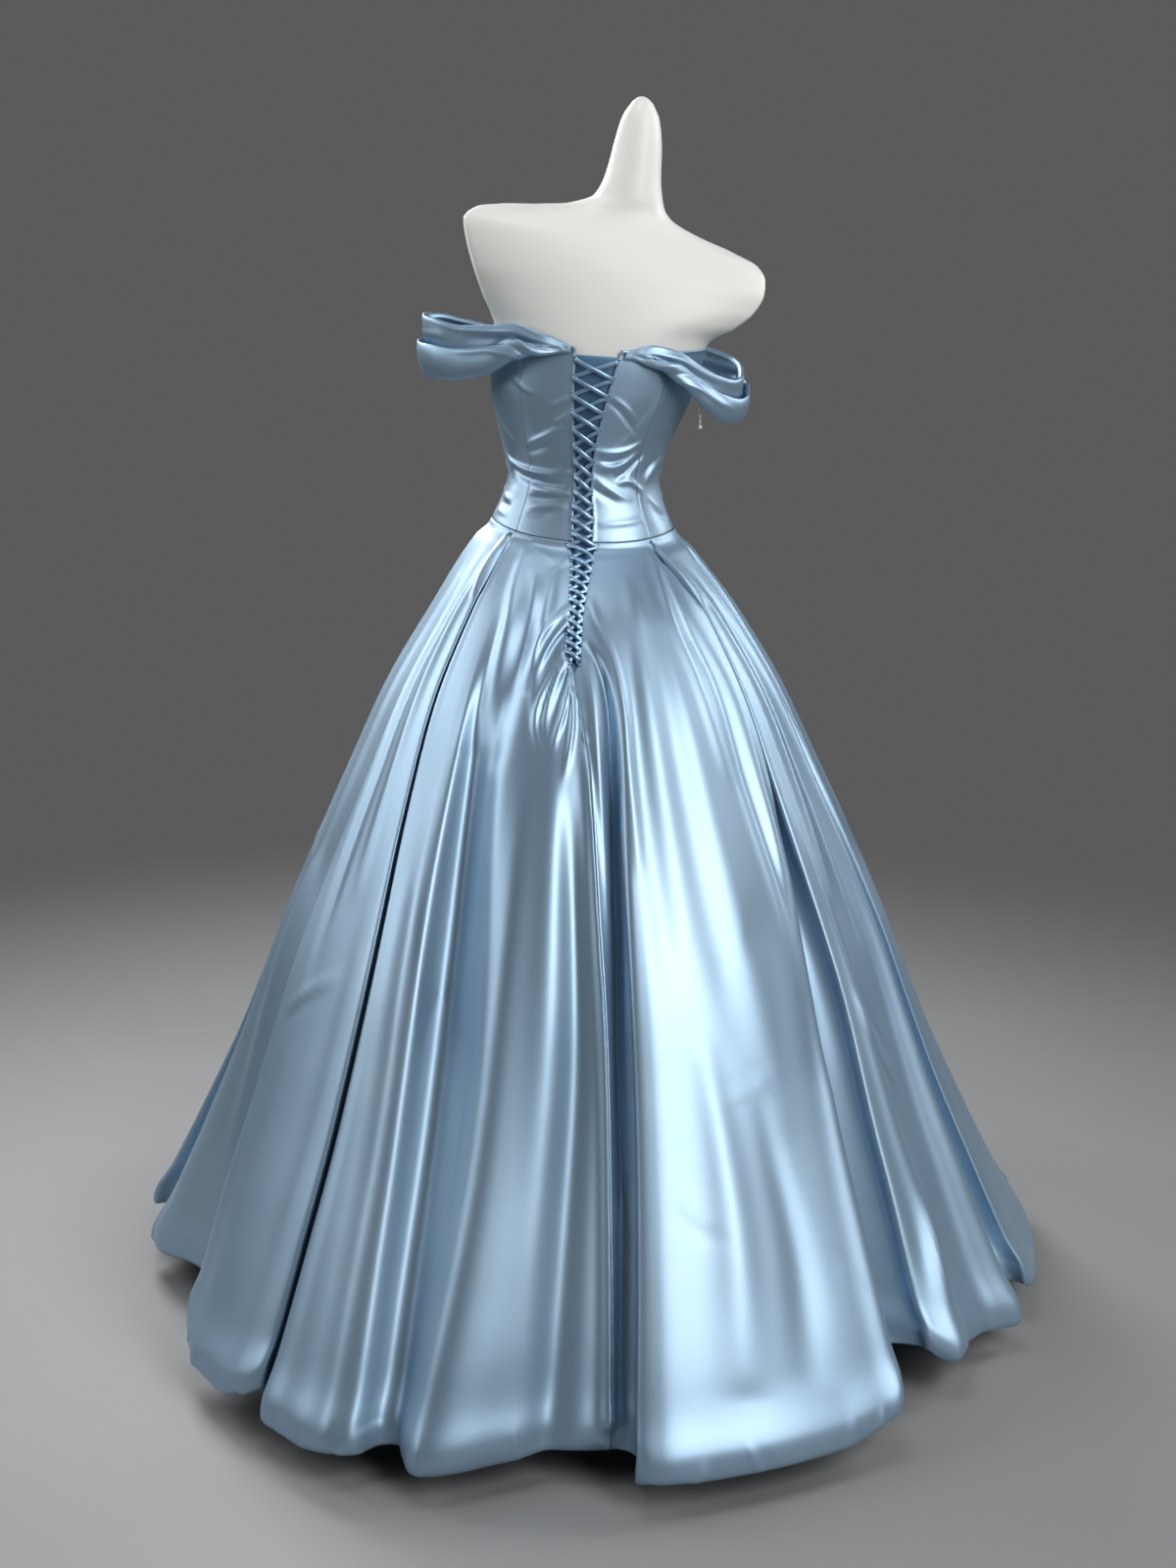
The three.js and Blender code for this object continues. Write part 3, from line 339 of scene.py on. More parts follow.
def read(rows, column, at, along="height"):
    """A column read smoothly between rows, never past the values on either side."""
    x, y = rows[along], rows[column]
    at = np.clip(at, x[0], x[-1])
    step = np.diff(x)
    rise = np.diff(y) / step
    slope = np.empty_like(y)
    slope[0], slope[-1] = rise[0], rise[-1]
    before, after = rise[:-1], rise[1:]
    same = before * after > 0
    total = np.where(same, before + after, 1)
    slope[1:-1] = np.where(same, 2 * before * after / total, 0)
    i = np.clip(np.searchsorted(x, at, side="right") - 1, 0, len(step) - 1)
    h = step[i]
    t = (at - x[i]) / h
    return (
        y[i] * (1 + 2 * t) * (1 - t) ** 2
        + slope[i] * h * t * (1 - t) ** 2
        + y[i + 1] * t * t * (3 - 2 * t)
        + slope[i + 1] * h * t * t * (t - 1)
    )


def through(points, ends, counts):
    """A centripetal curve through points (rows, points, 2 or 3), with an extra point past each end.

    counts gives how many steps each stretch takes. Returns the curve's points, and for each its
    stretch and its share of it.
    """
    chain = np.concatenate([ends[0][:, None], points, ends[1][:, None]], axis=1)
    chord = np.linalg.norm(np.diff(chain, axis=1), axis=2)
    knot = np.sqrt(np.maximum(chord, 1e-6))
    pieces, stretch, share = [], [], []
    for k, count in enumerate(counts):
        p0, p1, p2, p3 = (chain[:, k + j] for j in range(4))
        d0, d1, d2 = (knot[:, k + j][:, None] for j in range(3))
        lean_in = ((p1 - p0) / d0 - (p2 - p0) / (d0 + d1) + (p2 - p1) / d1) * d1
        lean_out = ((p2 - p1) / d1 - (p3 - p1) / (d1 + d2) + (p3 - p2) / d2) * d1
        last = k == len(counts) - 1
        for t in np.linspace(0, 1, count + 1)[: None if last else -1]:
            pieces.append(
                p1 * (1 + 2 * t) * (1 - t) ** 2 + lean_in * t * (1 - t) ** 2
                + p2 * t * t * (3 - 2 * t) + lean_out * t * t * (t - 1)
            )
            stretch.append(k)
            share.append(t)
    return np.stack(pieces, axis=1), np.array(stretch), np.array(share)


def spread(length, step, close=0.7, growth=1.5):
    """Shares from 0 to 1 that lie closer together near both ends."""
    near = [0.0]
    gap = close
    while gap < step:
        near.append(near[-1] + gap)
        gap *= growth
    near = np.array(near)
    middle = length - 2 * near[-1]
    count = max(2, int(round(middle / step)))
    inner = np.linspace(near[-1], length - near[-1], count + 1)[1:-1]
    return np.concatenate([near, inner, (length - near)[::-1]]) / length


# Meshes


def unit(v):
    return v / np.maximum(np.linalg.norm(v, axis=-1, keepdims=True), 1e-9)


def outward(grid):
    """Normals of a grid whose rows run down and columns left to right, seen from outside."""
    down = np.gradient(grid, axis=0)
    over = np.gradient(grid, axis=1)
    return unit(np.cross(down, over))


def lengths(grid, axis):
    """How far each point lies along the cloth, across (axis 1) or down (axis 0)."""
    step = np.linalg.norm(np.diff(grid, axis=axis), axis=2)
    pad = [(1, 0), (0, 0)] if axis == 0 else [(0, 0), (1, 0)]
    return np.pad(np.cumsum(step, axis=axis), pad)


def new_object(name, vertices, faces, material, uv=None):
    """A smooth piece from points in millimetres."""
    mesh = bpy.data.meshes.new(name)
    mesh.from_pydata((vertices * MM).tolist(), [], faces)
    if uv is not None:
        layer = mesh.uv_layers.new(name="cloth")
        corner = np.empty(len(mesh.loops), np.int64)
        mesh.loops.foreach_get("vertex_index", corner)
        layer.data.foreach_set("uv", np.ascontiguousarray(uv[corner], dtype=np.float32).ravel())
    mesh.polygons.foreach_set("use_smooth", [True] * len(mesh.polygons))
    mesh.materials.append(material)
    mesh.update()
    piece = bpy.data.objects.new(name, mesh)
    bpy.context.scene.collection.objects.link(piece)
    return piece


def shell(name, grid, material, thickness=SHELL, edge=1.0):
    """A closed thin shell of cloth on a grid of points in millimetres, thinner at its seams."""
    rows, columns = grid.shape[:2]
    thin = np.full((columns, 1), thickness)
    thin[[0, -1]] *= edge
    sides = np.stack([grid, grid - outward(grid) * thin])
    index = np.arange(2 * rows * columns).reshape(2, rows, columns)

    def strip(a, b, c, d):
        return np.stack([a, b, c, d], axis=-1).reshape(-1, 4)

    out, inside = index
    faces = np.concatenate([
        strip(out[:-1, :-1], out[1:, :-1], out[1:, 1:], out[:-1, 1:]),
        strip(inside[:-1, :-1], inside[:-1, 1:], inside[1:, 1:], inside[1:, :-1]),
        strip(out[0, :-1], out[0, 1:], inside[0, 1:], inside[0, :-1]),
        strip(out[-1, :-1], inside[-1, :-1], inside[-1, 1:], out[-1, 1:]),
        strip(out[:-1, 0], inside[:-1, 0], inside[1:, 0], out[1:, 0]),
        strip(out[:-1, -1], out[1:, -1], inside[1:, -1], inside[:-1, -1]),
    ])
    across, down = lengths(grid, 1), lengths(grid, 0)
    uv = np.stack([across, -down], axis=-1).reshape(-1, 2) * MM
    uv = np.concatenate([uv, uv])
    return new_object(name, sides.reshape(-1, 3), faces.tolist(), material, uv)


def rings(points, downward=False):
    """Points and faces of closed rings, (rings, points, 3), with flat ends."""
    index = np.arange(points.shape[0] * points.shape[1]).reshape(points.shape[:2])
    ahead = np.roll(index, -1, axis=1)
    faces = np.stack([index[:-1], ahead[:-1], ahead[1:], index[1:]], axis=-1).reshape(-1, 4)
    ends = [index[0][::-1], index[-1]]
    if downward:
        faces, ends = faces[:, [0, 3, 2, 1]], [index[0], index[-1][::-1]]
    return points.reshape(-1, 3), faces.tolist() + [end.tolist() for end in ends]


def tube(path, wide, thick, sides=10):
    """Points and faces of a closed tube along path, wide and thick the half axes at each point."""
    turn = np.linspace(0, 2 * math.pi, sides, endpoint=False)
    return rings(
        path[:, None]
        + wide[:, None] * np.cos(turn)[None, :, None]
        + thick[:, None] * np.sin(turn)[None, :, None]
    )


def joined(parts):
    """Points and faces of several closed meshes as one."""
    points, faces = [], []
    for part_points, part_faces in parts:
        start = sum(len(p) for p in points)
        points.append(part_points)
        faces += [[start + v for v in face] for face in part_faces]
    return np.concatenate(points), faces


# The body and the skirt's outline


def on_form(angle, height, off=0.0):
    """A point of the form's skin, moved out by off."""
    angle, height, off = np.broadcast_arrays(angle, height, off)
    a = np.radians(angle)
    power = 2 / read(FORM, "square", height)
    half, cut = read(FORM, "half", height), read(FORM, "cut", height)
    reach = half / (1 - cut) * np.sign(np.sin(a)) * np.abs(np.sin(a)) ** power
    across = np.clip(reach, -half, half) + off * np.sin(a)
    deep = np.where(np.cos(a) > 0, read(FORM, "back", height), read(FORM, "front", height))
    away = np.where(np.abs(angle) > 180, 360 - np.abs(angle), np.abs(angle))
    cup = BUST_DEPTH * swell(away, BUST_ROUND) * swell(height, BUST_UP)
    along = deep * np.sign(np.cos(a)) * np.abs(np.cos(a)) ** power + off * np.cos(a) - cup
    roll, turn = np.radians(read(FORM, "roll", height)), np.radians(read(FORM, "turn", height))
    right = across * np.cos(turn) + along * np.sin(turn)
    back = along * np.cos(turn) - across * np.sin(turn)
    shift = read(FORM, "shift", height)
    return np.stack([-(shift + right * np.cos(roll)), back, height - right * np.sin(roll)], axis=-1)


def waist_height(angle):
    towards = np.cos(np.radians(angle))
    dip = np.where(towards > 0, WAIST_BACK_DIP, WAIST_FRONT_DIP)
    return WAIST_SIDE - dip * np.abs(towards) ** WAIST_CURVE


def neck_height(angle):
    away = np.where(np.abs(angle) > 180, 360 - np.abs(angle), np.abs(angle))
    return read(NECKLINE, "height", away, along="angle")


def angle_at(right, height):
    half = read(FORM, "half", height) + BODICE_OFF_FORM + CLOTH
    return np.degrees(np.arcsin(np.clip(right / half, -1, 1)))


def on_skirt(angle, height, depth):
    """A point of the skirt's outline, moved in by depth."""
    a = np.radians(angle)
    near = ease((height - HIP) / (WAIST_SIDE - HIP))
    drop = near * (waist_height(angle) - WAIST_SIDE)
    across = (read(SKIRT, "half", height) - depth) * np.sin(a)
    back = (read(SKIRT, "deep", height) - depth) * np.cos(a)
    level = height + drop - across * np.sin(np.radians(WAIST_ROLL) * near)
    free = np.stack(np.broadcast_arrays(-across, back, level), axis=-1)
    off = BODICE_OFF_FORM + CLOTH + SKIRT_PROUD - depth
    seated = on_form(angle, np.minimum(height + drop, WAIST_SIDE), off)
    return mix(free, seated, ease((height - SEATED_FROM) / (WAIST_SIDE - SEATED_FROM))[..., None])


# The skirt


def at_levels(values, height):
    """A value given at the waist, hip, knee and hem, or at the last three, or once for all."""
    if np.ndim(values) == 0:
        return values
    levels = [FLOOR_TO_HEM, KNEE, HIP, WAIST_SIDE][: len(values)]
    return read({"height": np.array(levels, float), "value": np.array(values[::-1], float)},
                "value", height)


def fold_points(fold, height):
    """The fold's points across its run: angle, depth, lift and room, each (rows, points)."""
    h = height[:, None]
    middle = at_levels(fold["turns"], h)
    depth = at_levels(fold["depth"], h) * ease((fold["top"] - h) / fold["grow"])
    share = depth / fold["depth"][2]
    sunk = share ** 2 * ease((SINK_TOP - h) / SINK_GROW)
    folded = ease(depth / FOLDED_FROM) * (1 - fold["soft"])
    radius = read(SKIRT, "half", h)

    def points(rows, side, reach, floor, opening=0.0):
        under = np.degrees(rows["under"] * depth / radius)
        turned = mix(rows["flat"] * fold["width"], rows["folded"] * fold["width"] + under, folded)
        return {
            "angle": middle + side * (reach + opening + turned),
            "depth": rows["sunk"] * depth + (1 - rows["sunk"]) * floor
            - rows["proud"] * fold["ridge"] * share,
            "lift": np.broadcast_to(rows["lift"] * fold["lift"], depth.shape[:1] + rows["on"].shape),
            "room": np.broadcast_to(rows["room"], depth.shape[:1] + rows["on"].shape),
        }

    if fold["kind"] == "lap":
        over = fold["over"]
        under = at_levels(fold["under"], h)
        reach = LAP["on"] * fold["on"] + LAP["off"] * under
        low = np.arange(len(LAP["on"])) > LAP_SEAM
        floor = np.where(low, fold["lower"], fold["upper"]) * sunk
        run = points(LAP, over, reach, floor)
        return run if over > 0 else {k: v[:, ::-1] for k, v in run.items()}
    grown = np.clip((OPEN_TOP - h) / (OPEN_TOP - FLOOR_TO_HEM), 0, 1)
    opening = BOX["open"] * (BOX_CLOSED + BOX_OPEN * ease(grown * BOX_OPENS))
    left = points(BOX, -1, BOX["on"] * fold["on"], fold["upper"] * sunk, opening)
    right = points(BOX, 1, BOX["on"] * fold["under"], fold["lower"] * sunk, opening)
    return {k: np.concatenate([left[k], right[k][:, ::-1]], axis=1) for k in left}


def back_seam(side, height):
    """Angle of the skirt's edge at the centre back; side is 1 for the right piece's edge."""
    reach = read(SKIRT, "deep", height)
    low = read(BACK_SEAM, "angle", height) + side * np.degrees(SEAM / 2 / reach)
    half = read(LACED_GAP, "half", height)
    high = read(LACED_GAP, "middle", height) + side * np.degrees(half / reach)
    return np.where(height < LACED_GAP["height"][0], low, high)


def between(run, i, share):
    """A point of a run a share of the way from its point i to the next."""
    return {k: mix(v[:, i], v[:, i + 1], share) for k, v in run.items()}


def skirt_section(height):
    """Every control point round the skirt at each height, and which are seams and folds' bottoms."""
    columns = {"angle": [], "depth": [], "lift": [], "room": []}
    seams, bottoms = {}, {}
    runs = [fold_points(fold, height) for fold in FOLDS]
    cut_folds = {name for _, start, end in SKIRT_PIECES for name in (start, end)}

    def put(point):
        for key, values in columns.items():
            values.append(point[key])

    for k, (fold, run) in enumerate(zip(FOLDS, runs)):
        run = {key: v.copy() for key, v in run.items()}
        count = run["angle"].shape[1]
        edges = None
        if fold["name"] == "centre_back":
            cut = 1
            angles = [back_seam(-1, height), back_seam(1, height)]
            run["angle"][:, 1] = np.minimum(run["angle"][:, 1], angles[0] - SEAM_ROOM)
            run["angle"][:, 0] = np.minimum(run["angle"][:, 0], run["angle"][:, 1] - SEAM_ROOM)
            a, b = run["angle"][:, 1], run["angle"][:, 2]
            edges = [between(run, 1, (angle - a) / (b - a)) for angle in angles]
        elif fold["name"] in cut_folds:
            last = BOX_SEAM if fold["kind"] == "box" else LAP_SEAM
            cut = last if fold["over"] > 0 else count - 2 - last
            gap = np.degrees(SEAM / 2 / read(SKIRT, "half", height))
            a, b = run["angle"][:, cut], run["angle"][:, cut + 1]
            step = np.where(np.abs(b - a) < 1e-3, 1e-3, np.abs(b - a))
            edges = [between(run, cut, 0.5 - gap / step), between(run, cut, 0.5 + gap / step)]
        for i in range(count):
            put({key: v[:, i] for key, v in run.items()})
            if edges is not None and i == cut:
                seams[fold["name"]] = len(columns["angle"])
                put(edges[0])
                put(edges[1])
        bottoms[fold["name"]] = len(columns["angle"]) - count + LAP_BOTTOM
        following = runs[(k + 1) % len(runs)]
        turn = 360 if k + 1 == len(runs) else 0
        put({key: (v[:, -1] + following[key][:, 0] + (turn if key == "angle" else 0)) / 2
             for key, v in run.items()})
    return {key: np.stack(v, axis=1) for key, v in columns.items()}, seams, bottoms


def lifted(height):
    return ease((LIFT_TOP - height) / (LIFT_TOP - FLOOR_TO_HEM))


# The grid is finer from the waist down to FINE_TO and from PLAIN_TO down to the hem.
WAIST_ROWS = (0, 0.8, 2, 4, 7, 11)
FINE_TO = 850
FINE_ROWS = 70
PLAIN_TO = 120
PLAIN_ROWS = 80
HEM_ROWS = 12
SKIRT_STEP = 8.5
BACK_STEP = 5.0
FEWEST_STEPS = 3
MOST_STEPS = 60
SEAM_EDGE = 0.2  # a skirt panel's thickness at its seams, as a share
FORM_CLEAR = 2.2
WAIST_EDGE = WAIST_SIDE - 2 * SEAM


def skirt_levels():
    """Nominal heights, hem shares and turn of the rows from the waist down."""
    near = WAIST_EDGE - np.array(WAIST_ROWS)
    body = np.concatenate([np.linspace(near[-1], FINE_TO, FINE_ROWS)[1:],
                           np.linspace(FINE_TO, PLAIN_TO, PLAIN_ROWS)[1:],
                           np.linspace(PLAIN_TO, FLOOR_TO_HEM + HEM["turned"][0], HEM_ROWS)[1:]])
    roll = np.linspace(0, 3, 13)[1:]
    height = np.concatenate([near, body, FLOOR_TO_HEM + read(HEM, "turned", roll, "along")])
    hem = np.concatenate([np.zeros(len(near) + len(body)), roll])
    return height, hem


def skirt_grids():
    """The grid of each skirt piece."""
    height, hem = skirt_levels()
    section, seams, bottoms = skirt_section(height)
    creases = SKIRT_CREASES + puckers()
    radius = read(SKIRT, "half", height)[:, None]
    total = section["angle"].shape[1]
    grids = {}
    for name, start, end in SKIRT_PIECES:
        first = seams[start] + 1
        last = seams[end]
        count = (last - first) % total + 1
        picks = np.arange(first - 2, first + count + 2)
        picks = np.delete(picks, [1, len(picks) - 2])
        wrap = np.where(picks >= total, 360.0, 0.0)
        angle = section["angle"][:, picks % total] + wrap
        flat = np.stack([np.radians(angle) * radius, section["depth"][:, picks % total]], axis=-1)
        inner = flat[:, 1:-1]
        longest = np.linalg.norm(np.diff(inner, axis=1), axis=2).max(axis=0)
        step = BACK_STEP if "back" in name else SKIRT_STEP
        counts = np.clip(np.ceil(longest / step), FEWEST_STEPS, MOST_STEPS).astype(int)
        curve, stretch, share = through(inner, (flat[:, 0], flat[:, -1]), counts)
        soft = ease(share)
        keep = picks[1:-1] % total
        low, high = keep[stretch], keep[np.minimum(stretch + 1, len(keep) - 1)]
        lift = mix(section["lift"][:, low], section["lift"][:, high], soft)
        room = mix(section["room"][:, low], section["room"][:, high], soft)
        turn = np.degrees(curve[..., 0] / radius)
        h = height[:, None]
        over = np.where(
            hem[:, None] > 0,
            mix(read(HEM, "plain", hem, "along")[:, None],
                read(HEM, "turned", hem, "along")[:, None], room) + FLOOR_TO_HEM,
            h,
        )
        tuck = read(HEM, "tuck", hem, "along")[:, None] * HEM_TURN * room
        depth = curve[..., 1] + tuck
        along = lengths(curve, 1)
        starts = np.concatenate([[0], np.cumsum(counts)])
        for valley in VALLEYS:
            point = np.flatnonzero(keep == bottoms[valley["fold"]])
            if len(point):
                depth = depth + hollow(valley, along - along[:, starts[point[0]], None], height)
        rolled = HEM_BULGE * swell(over - FLOOR_TO_HEM, HEM_BULGE_AT)
        piping = WAIST_PIPING * swell(WAIST_EDGE - over, WAIST_PIPING_AT)
        depth = depth - press(turn, over, creases, radius) - rolled - piping
        grid = on_skirt(turn, over + lift * lifted(h), depth)
        grids[name] = off_the_form(grid, turn, height > HIP)
    return grids


def off_the_form(grid, turn, high):
    """Moves what a pleat would press into the form back out to just clear of it."""
    near, a = grid[high], np.radians(turn[high])
    level = near[..., 2] - near[..., 0] * math.sin(math.radians(WAIST_ROLL))
    away = np.stack([-np.sin(a), np.cos(a)], axis=-1)
    short = ((on_form(turn[high], level, FORM_CLEAR) - near)[..., :2] * away).sum(axis=-1)
    grid[high, :, :2] += np.maximum(short, 0)[..., None] * away
    return grid


# Creases: each is a soft ridge, or a trough where deep is below zero, along a path that is given as
# angle, height, angle, height. wide is its half width and deep its height, both either one number
# or one for each end. A crease fades out at both ends, or it grows from nothing at its start, or it
# dies out at its end, and side makes one flank the steeper.


def crease(wide, deep, *path, fade="both", side=0.0):
    path = np.array(path, float).reshape(-1, 2)
    return dict(wide=wide, deep=deep, path=path, fade=fade, side=side)


def grows(wide, deep, *path):
    return crease(wide, deep, *path, fade="start")


def dies(wide, deep, *path):
    return crease(wide, deep, *path, fade="end")


CREASE_STEPS = 10
FADING = {
    "both": lambda t: np.sin(math.pi * t) ** 0.7,
    "start": lambda t: ease(t * 3),
    "end": lambda t: ease((1 - t) * 1.6),
}


def press(angle, height, creases, radius, turns=(-360, 0, 360)):
    """How far creases raise the cloth at each point; radius turns angles into lengths."""
    shape = np.broadcast(angle, height, radius).shape
    angle, height, radius = (np.broadcast_to(v, shape) for v in (angle, height, radius))
    raised = np.zeros(shape)
    for c in creases:
        path = smooth_path(c["path"], CREASE_STEPS)
        t, t_index = np.linspace(0, 1, len(path)), np.arange(len(path))
        wide = np.interp(t, [0, 1], np.broadcast_to(c["wide"], 2))
        deep = np.interp(t, [0, 1], np.broadcast_to(c["deep"], 2)) * FADING[c["fade"]](t)
        reach = 3 * wide.max()
        level = (height > path[:, 1].min() - reach) & (height < path[:, 1].max() + reach)
        for turn in turns:
            spare = np.degrees(reach / radius)
            near = level & (angle > path[:, 0].min() + turn - spare)
            near &= angle < path[:, 0].max() + turn + spare
            if not near.any():
                continue
            over = np.radians(angle[near][:, None] - path[None, :, 0] - turn) * radius[near][:, None]
            up = height[near][:, None] - path[None, :, 1]
            off, at = nearest(over, up)
            x = np.abs(off) / np.interp(at, t_index, wide)
            profile = np.exp(-x * x)
            if c["side"]:
                profile = profile + c["side"] * np.sign(off) * x * np.exp(0.5 - x * x)
            raised[near] += np.interp(at, t_index, deep) * profile
    return raised


def nearest(over, up):
    """The signed distance of each row's nearest point on a path, and where that is along it."""
    rows = np.arange(len(over))
    best = (over ** 2 + up ** 2).argmin(axis=1)
    results = []
    for first in (np.maximum(best - 1, 0), np.minimum(best, over.shape[1] - 2)):
        away = np.stack([over[rows, first], up[rows, first]])
        step = away - np.stack([over[rows, first + 1], up[rows, first + 1]])
        share = np.clip((away * step).sum(axis=0) / np.maximum((step ** 2).sum(axis=0), 1e-9), 0, 1)
        foot = away - share * step
        sign = np.where(step[0] * away[1] - step[1] * away[0] > 0, 1, -1)
        results.append((sign * np.hypot(*foot), first + share))
    (off0, at0), (off1, at1) = results
    nearer = np.abs(off0) < np.abs(off1)
    return np.where(nearer, off0, off1), np.where(nearer, at0, at1)


def smooth_path(points, steps):
    ends = (2 * points[:1] - points[1:2], 2 * points[-1:] - points[-2:-1])
    return through(points[None], ends, [steps] * (len(points) - 1))[0][0]


